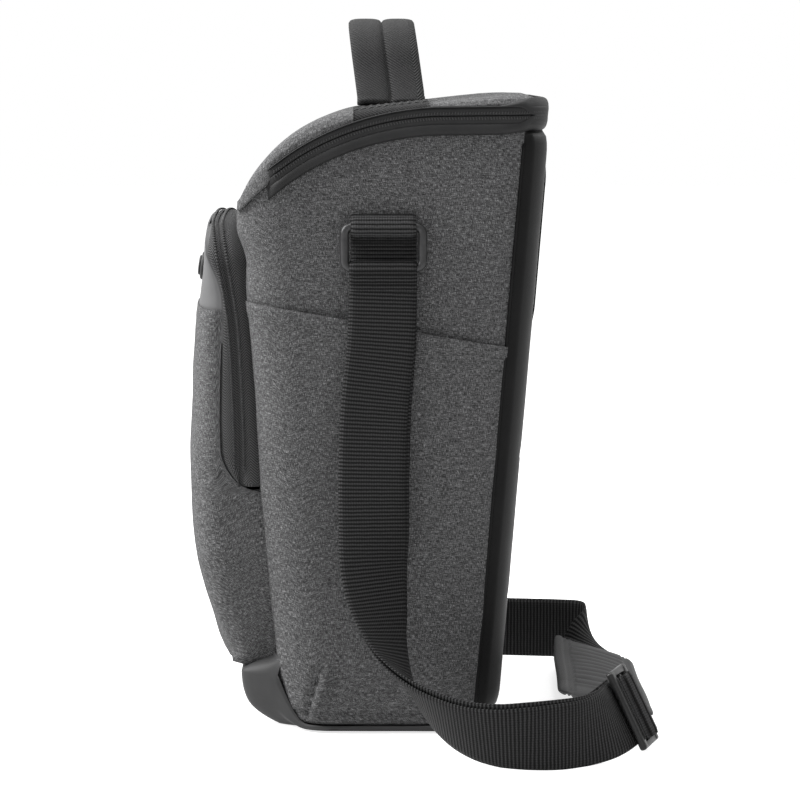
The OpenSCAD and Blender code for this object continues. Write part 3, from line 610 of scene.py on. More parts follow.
def smooth_route(route, step=1.5):
    """Points and top-edge directions along a soft curve through the route."""
    keys = np.array([list(c) + list(w) for c, w in route], float)
    padded = np.concatenate([2 * keys[:1] - keys[1:2], keys, 2 * keys[-1:] - keys[-2:-1]])
    fine = []
    for i in range(1, len(padded) - 2):
        p0, p1, p2, p3 = padded[i - 1:i + 3]
        for t in np.linspace(0, 1, 12, endpoint=False):
            fine.append(0.5 * (2 * p1 + (p2 - p0) * t + (2 * p0 - 5 * p1 + 4 * p2 - p3) * t * t
                               + (3 * p1 - p0 - 3 * p2 + p3) * t ** 3))
    fine.append(keys[-1])
    fine = np.array(fine)
    far = np.concatenate([[0], np.cumsum(np.linalg.norm(np.diff(fine[:, :3], axis=0), axis=1))])
    at = np.linspace(0, far[-1], int(far[-1] / step) + 1)
    even = np.stack([np.interp(at, far, fine[:, k]) for k in range(6)], axis=1)
    line = even[:, :3]
    t = tangents(line)
    across = even[:, 3:] - t * np.sum(even[:, 3:] * t, axis=1, keepdims=True)
    return line, across / np.linalg.norm(across, axis=1, keepdims=True)


def strap_piece(name, route, off, aside=0.0):
    """Flat webbing along a route, moved by off along its face, and by aside in its own plane."""
    line, across = smooth_route(route)
    face = cross_unit(tangents(line), across)
    along = np.linspace(0, 1, len(line))
    sway = aside * np.clip(np.minimum(along, 1 - along) / 0.2, 0, 1)
    line = line + face * off + across * sway[:, None]
    # section: sideways runs along the top-edge direction
    half = STRAP_W / 2
    xs = np.linspace(-1, 1, 13)
    edge_round = 1 - 0.55 * np.maximum(np.abs(xs) - 0.93, 0) / 0.07
    top = [(x * half, STRAP_T / 2 * e) for x, e in zip(xs, edge_round)]
    low = [(x * half, -STRAP_T / 2 * e) for x, e in zip(xs[::-1], edge_round[::-1])]
    piece = swept(name, line, face, [(-a, b) for a, b in (top + low)], STRAP_WEB)
    return piece, line


def add_straps():
    layer = STRAP_T / 2 + 0.15
    for name, node, off, aside in (("Strap_near_outer", "strap_outer_layer", -layer, 0.0),
                                   ("Strap_near_inner", "strap_inner_layer", layer, -1.7)):
        piece, line = strap_piece(name, NEAR_ROUTE, off, aside)
        ride(piece, "bag", node, slot="black_webbing")
    piece, line = strap_piece("Strap_far", FAR_ROUTE, 0.0)
    ride(piece, "bag", "strap_far_run", slot="black_webbing")


add_straps()

# ---------------------------------------------------------------- floor


def add_floor():
    size = 6000.0
    grid = np.array([[(x, y, 0.0) for x in (-size, size)] for y in (-size, size)])
    shader = Shader("studio_floor")
    white = shader.finish(Base_Color=(0.4, 0.4, 0.4, 1), Roughness=1.0, Specular_IOR_Level=0.0,
                          Emission_Color=(1, 1, 1, 1), Emission_Strength=0.75)
    floor = sheet_piece("Floor", grid, white)


add_floor()

# ---------------------------------------------------------------- body


def dart_depth(grid):
    """The sewn fold at the lower front of each side panel: a groove with a small roll behind it."""
    low, high = np.array([-28.6, 5.0]), np.array([-19.5, 35.0])
    line = (high - low) / np.linalg.norm(high - low)
    rel = grid[..., 1:] - low
    along = rel @ line
    beside = rel[..., 0] * line[1] - rel[..., 1] * line[0]
    fade = np.clip(along / 6, 0, 1) * np.clip((np.linalg.norm(high - low) - along) / 9, 0, 1)
    groove = -3.2 * np.exp(-(beside / 1.1) ** 2) + 2.6 * np.exp(-((beside - 3.4) / 2.6) ** 2)
    return groove * fade * (np.abs(grid[..., 0]) > 55)


def tub_grid(floor_z, inset, drop, rise_rows=80, round_r=7.0, skin=soft):
    rows = []
    for a in np.linspace(0, PI / 2, 7)[:-1]:
        rows.append(skin(floor_z + round_r * (1 - math.cos(a)), inset + round_r * (1 - math.sin(a))))
    base = floor_z + round_r
    for k in np.linspace(0, 1, rise_rows):
        rows.append(skin(base + k * (RIM_Z - drop - base), inset))
    return np.array(rows)


def cap_grid(row, name, material, levels=6, flip=False):
    """A flat floor inside a closed row of points, made of shrinking rings."""
    centre = row.mean(axis=0)
    grid = np.array([row + (centre - row) * k for k in np.linspace(0, 0.999, levels)])
    return sheet_piece(name, grid[::-1] if flip else grid, material, closed=True)


def add_body():
    grid = tub_grid(SOLE_T + 0.15, 0.0, 0.4, round_r=2.5)
    depth = lumps(grid, 46, 0.7) + lumps(grid, 17, 0.22, 7.0) + dart_depth(grid)
    piece = sheet_piece("Body_cover", outward(grid, depth, True), GREY_CLOTH, COVER_T, closed=True)
    ride(piece, "bag", "body_cover", slot="grey_woven_fabric")

    foam = tub_grid(6.25, 3.9, 1.0, 30, skin=wall)
    ride(sheet_piece("Body_foam", foam, FOAM, 3.4, closed=True), "bag", "body_foam", slot="closed_cell_foam")
    inner = tub_grid(12.4, 7.5, 0.6, 50, skin=wall)
    quilt = 0.5 * np.abs(np.sin(inner[..., 2] * PI / 48))
    lining = outward(inner, quilt - 0.4, True)
    ride(sheet_piece("Body_lining", lining, LINING, 0.9, closed=True), "bag", "body_lining",
         slot="grey_lining")
    ride(cap_grid(lining[0] + (0, 0, 0.9), "Lining_floor", LINING), "bag", slot="grey_lining")

    # binding tape over the body's upper edge, inside the zip
    rim = wall(RIM_Z - 0.9, 3.8)
    section = [(x * 3.7, y * 1.1) for x, y in circle(1.0, 16)]
    ride(swept("Rim_binding", rim, np.array([0, 0, 1.0]), section, TAPE, closed=True), "bag",
         slot="black_twill_tape")


SIDE_I0 = N_HALF + 3
HEM_FRONT, HEM_BACK = 198.0, 178.0


def side_pocket_points(ids, low_share, off):
    """Points of the slip pocket on the +X side at a share of the way up to its hem."""
    share = (ids - ids[0]) / (ids[-1] - ids[0])
    depth = wall(190.0, 0, ids)[:, 1]
    hem = HEM_FRONT + (HEM_BACK - HEM_FRONT) * (depth - depth[0]) / (depth[-1] - depth[0])
    z = 10 + low_share * (hem - 10)
    stand = 0.5 + (off + 1.9 * low_share ** 3) * np.sin(PI * share) ** 0.7
    return soft(z, -stand, ids), share


def add_side_pockets():
    ids = np.arange(SIDE_I0, I_BAND + 1)
    rows = np.linspace(0, 1, 110)
    grid = np.array([side_pocket_points(ids, k, 0.7)[0] for k in rows])
    seam = np.minimum(1, rows / 0.05)[:, None]
    depth = (lumps(grid, 40, 0.7, 3.0) + lumps(grid, 15, 0.3, 5.0)) * seam + dart_depth(grid)
    # the hem is folded over, so its last millimetres are thicker, and drawn in along the stitches
    height = (1 - rows)[:, None] * (grid[-1, :, 2] - 10)[None]
    depth += 0.55 * np.clip((7.5 - height) / 1.2, 0, 1) - 0.5 * np.exp(-((height - 6.3) / 0.7) ** 2)
    skin = outward(grid, depth)
    normals = grid_normals(skin, False)
    for side, label in ((1, "right"), (-1, "left")):
        points = skin * (side, 1, 1)
        points = points if side > 0 else points[:, ::-1]
        ride(sheet_piece("Side_pocket_" + label, points, GREY_CLOTH, 1.1, shift=(31, 17)), "bag",
             "side_pocket_" + label, slot="grey_woven_fabric")
        at = np.argmin(np.abs(height - 6.3), axis=0)
        line = skin[at, np.arange(len(ids))] * (side, 1, 1)
        normal = normals[at, np.arange(len(ids))] * (side, 1, 1)
        ride(stitches("Side_pocket_stitches_" + label, line, normal, THREAD_GREY), "bag",
             slot="grey_woven_fabric")


def add_back_panel():
    ids = np.arange(I_BAND, N_RING - I_BAND + 1)
    rows = np.linspace(0, 1, 90)
    z = 8 + rows * (274.8 - 8)
    share = np.abs(np.linspace(-1, 1, len(ids)))
    edge = np.clip((1 - share) / 0.045, 0, 1)
    side_round = np.sqrt(1 - (1 - edge) ** 2)
    ends = np.clip(np.minimum(rows, 1 - rows) / 0.04, 0, 1)
    end_round = np.sqrt(1 - (1 - ends) ** 2)
    hollow = 0.9 * np.exp(-(share / 0.3) ** 4)
    stand = 0.2 + (3.1 - hollow[None]) * side_round[None] * end_round[:, None]
    grid = np.array([wall(zz, -s, ids) for zz, s in zip(z, stand)])
    for zz in (62, 128, 194):
        grooves = np.exp(-((grid[..., 2] - zz) / 1.6) ** 2) * (share < 0.72)[None]
        grid = outward(grid, -0.9 * grooves)
    grid = outward(grid, lumps(grid, 30, 0.25, 9.0))
    ride(sheet_piece("Back_panel", grid, BLACK_COAT, 0.8), "bag", "back_panel", slot="black_coated_fabric")
    # piping along the panel's two upright edges
    for label, col in (("right", 0), ("left", -1)):
        line = grid[2:-2, col] + grid_normals(grid, False)[2:-2, col] * 0.3
        ride(swept("Back_piping_" + label, line, np.array([0, 1.0, 0]), circle(0.75), BLACK_COAT), "bag",
             slot="black_coated_fabric")


def add_belt_loop():
    z = np.linspace(176, 266, 46)
    share = np.linspace(-1, 1, 18)
    lift = np.clip(np.minimum(z - 176, 266 - z) / 16, 0, 1)
    stand = 3.3 + 1.5 * lift * lift * (3 - 2 * lift)
    grid = np.array([[(-x * 23, wall_back(h) + s, h) for x in share] for h, s in zip(z, stand)])
    ride(sheet_piece("Belt_loop", outward(grid, np.full(grid.shape[:2], 1.4)), LOOP_WEB, 1.4), "bag",
         "belt_loop", slot="black_webbing")
    for h in (180, 184, 258, 262):
        line = np.array([(x, wall_back(h) + 4.9, h) for x in (20, -20)])
        ride(stitches("Belt_stitches_%d" % h, line, np.array([0, 1.0, 0]), THREAD_BLACK), "bag",
             slot="black_webbing")


TOE_Y, TOE_Z = -56.6, 34.0
SOLE_EDGE_Z = 3.6


def add_boot():
    """Coated boot: a thin sole, drawn up over a padded toe in front of the body."""
    # degrees round each front corner, from the front face to the side
    turn = np.degrees(np.arccos(np.clip((wall_front(20.0) + CORNER_R - wall(20.0)[:, 1]) / CORNER_R, 0, 1)))
    height = np.interp(turn, (0, 25, 35, 45, 55), (TOE_Z, TOE_Z - 1, 17, 6, SOLE_EDGE_Z))
    reach = np.interp(turn, (0, 5, 15, 25, 35, 45, 55), (1, 0.96, 0.72, 0.37, 0.18, 0.05, 0))
    reach = reach * (TOE_Y - wall_front(20.0))
    rows = []
    for k in np.linspace(0, 1, 40):
        tuck = 7 * (1 - min(1, k / 0.36)) ** 2.2 - 1.2 + 0.8 * max(0, (k - 0.85) / 0.15)
        row = wall(0.3 + (height - 0.3) * k, tuck)
        under_pocket = 1 - 0.8 * np.clip((row[:, 2] - 25) / 7, 0, 1) ** 1.5
        row[:, 1] += reach * math.sin(math.radians(min(90, 36 + 90 * k))) * under_pocket
        rows.append(row)
    grid = np.array(rows)
    grid = outward(grid, lumps(grid, 24, 0.4, 2.0) * np.linspace(0, 1, 40)[:, None], True)
    piece = sheet_piece("Base_boot", grid, GREY_COAT, 1.0, closed=True)
    ride(piece, "bag", "base_boot", slot="grey_coated_fabric")
    ride(cap_grid(grid[0], "Base_sole", GREY_COAT, flip=True), "bag", slot="grey_coated_fabric")


add_body()
add_side_pockets()
add_back_panel()
add_belt_loop()
add_boot()

# ---------------------------------------------------------------- lid and its zip

ZIP_I0 = N_HALF + 12
ZIP_IDS = np.arange(ZIP_I0, N_RING - ZIP_I0 + 1)


def zip_rows(heights, stands):
    """Rows beside the lid's zip line: heights above it, and how far each stands out from the wall."""
    return np.array([wall(RIM_Z[ZIP_IDS] + h, -np.broadcast_to(s, len(ZIP_IDS)), ZIP_IDS)
                     for h, s in zip(heights, stands)])


def end_fade(count):
    """Bands sink to the wall at their two ends."""
    at = np.arange(count)
    near = np.minimum(at, count - 1 - at)
    return np.sqrt(np.clip(near / 3.0, 0, 1))


def teeth(name, line, across, outwards, material, body, slot, pitch=1.3, size=(0.3, 2.2, 0.3), slant=0.55):
    """The stitches over a coil: short rounded bars side by side, slanting away from the zip's middle."""
    joined = resample(np.concatenate([line, across, outwards], axis=1), pitch)
    forward = tangents(joined[:, :3])
    points = []
    faces = []
    uvs = []
    sides = 6
    levels = ((-0.5, 0.55), (-0.38, 1.0), (0.3, 1.0), (0.5, 0.6))
    for row, ahead in zip(joined, forward):
        p, a, n = row[:3], row[3:6], row[6:]
        a = a / np.linalg.norm(a) + slant * ahead
        a = a / np.linalg.norm(a)
        n = n / np.linalg.norm(n)
        t = np.cross(a, n)
        base = len(points)
        for along, fat in levels:
            for q in range(sides):
                angle = 2 * PI * q / sides
                points.append(p + a * size[1] * along + t * size[0] * fat * math.cos(angle)
                              + n * size[2] * fat * math.sin(angle))
        for ring in range(len(levels) - 1):
            for q in range(sides):
                c = base + ring * sides + q
                d = base + ring * sides + (q + 1) % sides
                faces.append((c, d, d + sides, c + sides))
                uvs += [(q, ring), (q + 1, ring), (q + 1, ring + 1), (q, ring + 1)]
    return ride(make_object(name, points, faces, uvs, material), body, slot=slot)


# 1 round the two rear corners, where the zip's sides are covered by smooth padded ends
ZIP_SIDE_Y = wall(RIM_Z)[ZIP_IDS, 1]
COVERED = np.clip((ZIP_SIDE_Y - 69) / 3, 0, 1) * (np.abs(wall(RIM_Z)[ZIP_IDS, 0]) > 62)
COVERED = np.convolve(np.pad(COVERED, 1, mode="edge"), (0.25, 0.5, 0.25), mode="valid")
AT_REAR = np.clip((ZIP_SIDE_Y - 60) / 14, 0, 1)


def add_zip_side(label, body, sign, reach, rear_reach, nodes):
    """One half of the lid's zip: a rounded edge band, tape beside the coil, and the coil's stitches."""
    fade = end_fade(len(ZIP_IDS))
    share = np.linspace(0, 1, 20)
    inner = 3.6 + (-0.12 * sign - 3.6) * COVERED
    outer = reach + (rear_reach - reach) * AT_REAR
    heights = [sign * (inner + (outer - inner) * k) for k in share]
    rolled = 1.8 + 0.9 * np.sin(PI * share ** 0.8) ** 0.8 - 1.9 * np.clip((share - 0.8) / 0.2, 0, 1) ** 2
    nose = 4.4 * np.sqrt(1 - 0.94 * share ** 2.2) - 2.3
    stands = [0.2 + (a + (b - a) * np.maximum(COVERED, AT_REAR * 0.7)) * fade for a, b in zip(rolled, nose)]
    rows = zip_rows(heights, stands)
    band = sheet_piece("Zip_band_" + label, rows if sign > 0 else rows[::-1], BAND_COAT, 0.7)
    ride(band, body, nodes[0], slot="black_twill_tape")
    top = min(reach, 3.9)
    tape_rows = zip_rows([sign * h for h in (0.1, 0.35, 1.2, 2.4, top)],
                         [0.2 + s * fade for s in (1.45, 1.75, 1.85, 1.85, 1.85)])
    tape = sheet_piece("Zip_tape_" + label, tape_rows if sign > 0 else tape_rows[::-1], BAND_COAT, 0.5)
    ride(tape, body, slot="black_twill_tape")

    ids = ZIP_IDS[2:-2]
    near, far = wall(RIM_Z[ids] + sign * 0.4, -2.05, ids), wall(RIM_Z[ids] + sign * 1.9, -2.05, ids)
    normal = wall(RIM_Z[ids] + sign * 0.7, -3.15, ids) - near
    coil = teeth("Zip_coil_" + label, (near + far) / 2, far - near, normal, COIL, body, "zip_coil_nylon",
                 pitch=1.3, size=(0.3, 1.25, 0.28), slant=0.3)
    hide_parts(nodes[1])


INSETS = ((0, 0), (0.07, 0), (0.16, 0.5), (0.3, 2.4), (0.45, 6), (0.6, 14), (0.75, 28), (0.88, 46), (1, 68))
SHARES = ((0, 0), (0.07, 0.3), (0.16, 0.56), (0.3, 0.8), (0.45, 0.92), (0.6, 0.98), (0.75, 1), (1, 1))


def front_fold(ids=ALL):
    """1 along the front, where the lid's cloth folds down over the body, to 0 where the zip starts."""
    m = np.where(ids <= N_ARC, ids, N_RING - ids)
    return np.clip((ZIP_I0 + 2.5 - m) / 1.5, 0, 1)


def lid_row(t, depth=0.0):
    """One ring of the lid, from its zip edge at t = 0 to its middle at t = 1."""
    skirt = front_fold() * (depth == 0)
    flare = skirt * (0.9 * np.clip(1 - t / 0.3, 0, 1) + 0.3)
    inset = np.interp(t, *zip(*INSETS)) + depth
    share = np.interp(t, *zip(*SHARES))
    ring = wall(270.0, inset - flare)
    y = np.maximum(ring[:, 1], -56.6 + depth * 0.6 - flare)
    low = zip_line(np.maximum(y, -56.6)) + 0.4
    rise = np.maximum(crown(y) - depth - low, 0.35)
    x = ring[:, 0] * wall_w(low) / wall_w(270.0)
    drop = skirt * 3.6 * np.clip(1 - t / 0.12, 0, 1)
    return np.stack([x, y, low + share * rise + 0.02 * (t == 0) - drop], axis=1)


def lid_layout(grid):
    """Flat cloth coordinates for the lid: seen from above, with its falling edges unrolled outwards."""
    ring = grid[0, :, :2]
    along = np.roll(ring, -1, axis=0) - np.roll(ring, 1, axis=0)
    out = np.stack([along[:, 1], -along[:, 0]], axis=1)
    out /= np.linalg.norm(out, axis=1)[:, None]
    out *= np.sign(np.sum(out * (ring - ring.mean(axis=0))))
    ys = np.linspace(-62, 92, 200)
    arc = np.concatenate([[0], np.cumsum(np.hypot(np.diff(ys), np.diff(crown(ys))))])
    drop = np.maximum(crown(grid[..., 1]) - grid[..., 2], 0)
    flat = (grid[..., 0] + out[:, 0] * drop, np.interp(grid[..., 1], ys, arc) + out[:, 1] * drop)
    return wrapped(*flat)


def wrapped(u, v):
    """Cloth coordinates for a closed grid, with the first column repeated at the end."""
    return [np.pad(part, ((0, 0), (0, 1)), mode="wrap") for part in (u, v)]


def add_lid():
    ts = np.linspace(0, 1, 60)
    grid = np.array([lid_row(t) for t in ts])
    ease = np.clip(ts / 0.2, 0, 1)[:, None]
    grid[..., 2] += (lumps(grid, 40, 0.8, 4.0) + lumps(grid, 16, 0.25, 8.0)) * ease
    piece = sheet_piece("Lid_cover", grid, GREY_CLOTH, COVER_T, closed=True, layout=lid_layout(grid))
    ride(piece, "lid", "lid_cover", slot="grey_woven_fabric")
    add_zip_side("lower", "bag", -1, 8.6, 7.4, ("zip_band_lower", "zip_coil_lower"))
    add_zip_side("upper", "lid", 1, 4.4, 7.8, ("zip_band_upper", "zip_coil_upper"))

    pad = [lid_pad_row(e, k, c) for e, k, c in ((4, 0, 0), (4, 0.35, 0), (8.5, 0.72, 0), (14, 0.84, 0),
                                                (14, 0.93, 0.3), (14, 0.98, 0.6), (14, 1.0, 0.99))]
    ride(sheet_piece("Lid_foam", np.array(pad), FOAM, closed=True), "lid", "lid_foam",
         slot="closed_cell_foam")
    low = [lid_pad_row(e, 0, c) - (0, 0, drop) for e, c, drop in
           ((3, 0, 0.2), (2.6, 0, 0.9), (4, 0, 1.4), (8, 0, 1.8), (11, 0, 1.5), (14, 0, 1.2), (14, 0.1, 1.7),
            (14, 0.25, 2.1), (14, 0.5, 2.1), (14, 0.75, 2.1), (14, 0.999, 2.1))]
    outer = lid_row(0, -1.5)
    edge = outer + (lid_row(0, 0.6) - outer) * front_fold()[:, None]
    hem = np.array([edge + (lid_pad_row(2.9, 0) - (0, 0, 0.4) - edge) * k for k in np.linspace(0, 1, 6)])
    ride(sheet_piece("Lid_hem", hem[:, ::-1], BAND_COAT, 0.4, closed=True), "lid", slot="black_twill_tape")
    low = np.array(low)[:, ::-1]
    lining = sheet_piece("Lid_lining", low, LINING, closed=True, layout=wrapped(low[..., 0], low[..., 1]))
    ride(lining, "lid", "lid_lining", slot="grey_lining")


def lid_pad_row(inset, lift, closing=0.0):
    """A ring of the lid's padding; closing draws it together to the lid's middle."""
    z_low, z_high = 276.0, 280.0
    shape = wall(z_low, inset)
    y0, y1 = -48 + inset, wall_back(z_high) - inset
    old0, old1 = wall_front(z_low) + inset, wall_back(z_low) - inset
    y = y0 + (shape[:, 1] - old0) * (y1 - y0) / max(old1 - old0, 1e-6)
    y += closing * ((y0 + y1) / 2 - y)
    low = zip_line(y) + 2.2
    rise = lift * (crown(y) - COVER_T - 0.5 - low)
    return np.stack([shape[:, 0] * (1 - closing), y, low + rise], axis=1)


add_lid()

# ---------------------------------------------------------------- small shapes


def rounded_rectangle(width, height, radius, steps=5):
    """Points round a rounded rectangle, anticlockwise."""
    points = []
    for cx, cy, start in ((1, 1, 0), (-1, 1, 90), (-1, -1, 180), (1, -1, 270)):
        for k in range(steps + 1):
            a = math.radians(start + 90 * k / steps)
            points.append((cx * (width / 2 - radius) + radius * math.cos(a),
                           cy * (height / 2 - radius) + radius * math.sin(a)))
    return np.array(points)


def plate(centre, axes, size, corner, edge, steps=4):
    """A flat block with rounded corners and edges: points, faces and uvs. axes are its three directions."""
    width, height, thick = size
    levels = [(-thick / 2 + edge * (1 - math.cos(a)), edge * (1 - math.sin(a)))
              for a in np.linspace(0, PI / 2, steps)]
    levels += [(-low, inset) for low, inset in levels[::-1]]
    frame3 = np.array([np.array(a, float) / np.linalg.norm(a) for a in axes])
    rings = []
    for high, inset in levels:
        ring = rounded_rectangle(width - 2 * inset, height - 2 * inset, max(corner - inset, 0.05))
        rings.append(np.concatenate([ring, np.full((len(ring), 1), high)], axis=1))
    flat = np.concatenate(rings)
    count = len(rings[0])
    faces = [tuple(range(count))[::-1], tuple(range(len(flat) - count, len(flat)))]
    for i in range(len(rings) - 1):
        for j in range(count):
            k = (j + 1) % count
            faces.append((i * count + j, i * count + k, (i + 1) * count + k, (i + 1) * count + j))
    uvs = [tuple(flat[v][:2]) for face in faces for v in face]
    return np.asarray(centre, float) + flat @ frame3, faces, uvs


def rod(start, end, radius, sides=16):
    """A round bar with rounded rims between two points: points, faces and uvs."""
    start, end = np.array(start, float), np.array(end, float)
    length = np.linalg.norm(end - start)
    t = (end - start) / length
    side = np.cross(t, (0.3, 0.9, 0.2))
    side /= np.linalg.norm(side)
    other = np.cross(t, side)
    edge = min(0.3 * radius, 0.4)
    rings = ((0, radius - edge), (edge * 0.4, radius - edge * 0.25), (edge, radius),
             (length - edge, radius), (length - edge * 0.4, radius - edge * 0.25), (length, radius - edge))
    points = [start + t * far + r * (side * math.cos(a) + other * math.sin(a))
              for far, r in rings for a in np.arange(sides) * 2 * PI / sides]
    faces = [tuple(range(sides))[::-1], tuple(range(5 * sides, 6 * sides))]
    for i in range(5):
        for j in range(sides):
            k = (j + 1) % sides
            faces.append((i * sides + j, i * sides + k, (i + 1) * sides + k, (i + 1) * sides + j))
    uvs = [(v % sides, v // sides) for face in faces for v in face]
    return np.array(points), faces, uvs


def joined(name, shapes, material):
    """One object made of several simple shapes."""
    points = []
    faces = []
    uvs = []
    for shape_points, shape_faces, shape_uvs in shapes:
        base = len(points)
        points.extend(np.asarray(shape_points).tolist())
        faces += [tuple(base + v for v in face) for face in shape_faces]
        uvs += list(shape_uvs)
    return make_object(name, points, faces, uvs, material)


def catmull(keys, step):
    """A soft curve through key points, with points evenly spaced."""
    keys = np.asarray(keys, float)
    padded = np.concatenate([2 * keys[:1] - keys[1:2], keys, 2 * keys[-1:] - keys[-2:-1]])
    fine = []
    for p0, p1, p2, p3 in zip(padded, padded[1:], padded[2:], padded[3:]):
        for t in np.linspace(0, 1, 10, endpoint=False):
            fine.append(0.5 * (2 * p1 + (p2 - p0) * t + (2 * p0 - 5 * p1 + 4 * p2 - p3) * t * t
                               + (3 * p1 - p0 - 3 * p2 + p3) * t ** 3))
    return resample(np.array(fine + [keys[-1]]), step)


def webbing_strip(name, line, face, width, thick, material, rib=0.0, pitch=1.9):
    """Webbing along a line, with face as its outward normal; ribs stand out by rib."""
    line = np.asarray(line, float)
    far = np.concatenate([[0], np.cumsum(np.linalg.norm(np.diff(line, axis=0), axis=1))])
    face = np.broadcast_to(face, line.shape)
    ripple = rib * np.cos(2 * PI * far / pitch)
    xs = np.linspace(-1, 1, 15)
    edge = 1 - 0.6 * np.maximum(np.abs(xs) - 0.92, 0) / 0.08
    profile = [(x * width / 2, thick / 2 * e) for x, e in zip(xs, edge)]
    profile += [(x * width / 2, -thick / 2 * e) for x, e in zip(xs[::-1], edge[::-1])]
    return swept(name, line + face * ripple[:, None], face, profile[::-1], material)


# ---------------------------------------------------------------- handle

# The handle's middle line over the lid as (x, z), from the right foot to the top
HANDLE_HALF = [(74, 286.2), (70.5, 290.6), (67, 295.4), (63.5, 301), (58, 311), (50, 318), (38, 321.8),
               (18, 322.8)]
HANDLE_W = 30.0


def lid_top(x, y):
    """Height of the lid's cloth at a place near one of its long sides."""
    t = np.interp(wall_w(270.0) - np.abs(x), [i for _, i in INSETS], [t for t, _ in INSETS])
    low = zip_line(y) + 0.4
    return low + np.interp(t, *zip(*SHARES)) * (crown(y) - low)


def handle_path():
    keys = HANDLE_HALF + [(-x, z) for x, z in HANDLE_HALF[::-1]]
    flat = catmull(keys, 1.5)
    y = 11.4 - 4.6 * np.clip((flat[:, 1] - 290) / 33, 0, 1)
    line = np.stack([flat[:, 0], y, flat[:, 1]], axis=1)
    slope = tangents(flat)
    normal = np.stack([slope[:, 1], np.zeros(len(flat)), -slope[:, 0]], axis=1)
    return line, normal


def handle_profile():
    """Two rounded folds of webbing that meet in a crease along the middle."""
    s = np.linspace(-1, 1, 41)
    hump = (1 - np.abs(2 * np.abs(s) - 1) ** 3.2) ** 0.5
    half = 0.55 + 1.8 * hump
    top = np.stack([s * HANDLE_W / 2, half], axis=1)
    low = np.stack([s[::-1] * HANDLE_W / 2, -0.5 * half[::-1]], axis=1)
    return np.concatenate([low, top])


def add_handle():
    line, normal = handle_path()
    ride(swept("Carry_handle", line, normal, handle_profile(), HANDLE_WEB), "lid", "carry_handle",
         slot="black_webbing")
    for side, label in ((1, "right"), (-1, "left")):
        xs = np.linspace(68.5, 85.3, 26)
        ys = np.linspace(-5, 28, 34)
        rows = np.array([[(x, y, float(lid_top(x, y))) for y in ys] for x in xs[::-1]])
        rows = outward(rows, 1.3 + 0.12 * np.cos(rows[..., 0] * 2 * PI / 1.9)) * (side, 1, 1)
        rows = rows if side > 0 else rows[:, ::-1]
        foot = sheet_piece("Handle_foot_" + label, rows, HANDLE_WEB, 1.2)
        ride(foot, "lid", "handle_foot_" + label, slot="black_webbing")
        up = grid_normals(rows, False)
        for at in (5, 12):
            ride(stitches("Handle_stitches_%s_%d" % (label, at), rows[at], up[at], THREAD_BLACK), "lid",
                 slot="black_webbing")


# ---------------------------------------------------------------- sliders


def slider_axes(base):
    """Turns (along, out, up) on the bag's left side into the bag's own frame."""
    turn = np.array([(0, 1, 0), (-1, 0, 0), (0, 0, 1)], float)
    return lambda p: np.asarray(base, float) + np.asarray(p, float) @ turn


LEFT_AXES = ((0, 1, 0), (0, 0, 1), (-1, 0, 0))


def add_slider(label, base, slider_body, pull_body, nodes):
    at = slider_axes(base)
    shapes = [plate(at((0, 0.8, 0)), LEFT_AXES, (11, 11, 1.6), 3.0, 0.5),
              plate(at((-3.0, 3.2, 2.8)), ((0, 1, 0), (0, 0, 1), (-1, 0, 0)), (1.2, 4.2, 3.4), 0.5, 0.3),
              plate(at((3.0, 3.2, 2.8)), ((0, 1, 0), (0, 0, 1), (-1, 0, 0)), (1.2, 4.2, 3.4), 0.5, 0.3),
              rod(at((-3.4, 3.4, 3.0)), at((3.4, 3.4, 3.0)), 0.8)]
    ride(joined("Slider_" + label, shapes, METAL), slider_body, nodes[0], slot="dark_metal")
    tab = [rod(at((-2.1, 3.4, 3.0)), at((2.1, 3.4, 3.0)), 1.5),
           plate(at((0, 3.4, -1.5)), LEFT_AXES, (3.2, 7.4, 1.3), 0.6, 0.3),
           plate(at((0, 3.4, -10.2)), LEFT_AXES, (7.0, 11.6, 1.5), 2.2, 0.5)]
    tab += [plate(at((0, 4.2, z)), LEFT_AXES, (4.6, 1.2, 0.6), 0.5, 0.25) for z in (-7.4, -9.6, -11.8)]
    ride(joined("Pull_" + label, tab, METAL), pull_body, nodes[1], slot="dark_metal")


def add_lid_sliders():
    for side, label in ((1, "rear"), (-1, "front")):
        y = 30 + 7 * side
        z = float(zip_line(y))
        add_slider("lid_" + label, (-wall_w(z) - 3.65, y, z), label + "_lid_slider", label + "_lid_pull",
                   ("lid_slider_" + label, "lid_pull_" + label))


add_handle()
add_lid_sliders()

# ---------------------------------------------------------------- front pocket

POCKET_W = 64.0
ARCH_R = 20.0
POCKET_TOP = 234.6
ARCH_TURN = POCKET_TOP - ARCH_R
FOLD_Z = 112.0
# Depths at a few heights: the zip's middle, the flap's edge, and the front where it bulges most
ZIP_YS = [(112, -57.8), (135, -57.9), (149, -58.3), (163, -58.8), (177, -59.5), (191, -60.7), (203, -62.7),
          (215, -64.8), (224, -66.3), (235, -68.6)]
EDGE_YS = [(20, -37.6), (60, -41), (104, -44.5), (109.4, -46.5), (110.1, -50), (111, -53.6), (113, -57.8),
           (116.5, -61.2), (120.4, -63.8), (124, -65.5), (128, -66.4), (142, -66.8), (163, -66.4),
           (191, -65.2), (200, -65.6), (207, -67.6), (214, -70.8), (219, -72.4), (226, -73), (235, -72.4)]
BULGE_YS = [(29, -65.5), (34, -68.6), (43, -72), (55.7, -76.4), (66, -79.4), (77, -81.8), (90, -83.3),
            (100, -83.7), (127, -83.6), (146, -82.9), (165, -81.6), (186, -80.2), (195, -79.2)]
FACING_YS = [(180, -79.8), (195, -78.9), (203, -77.7), (215, -75.4), (231, -73.4), (235, -73)]


def lookup(z, table):
    return np.interp(z, *zip(*table))


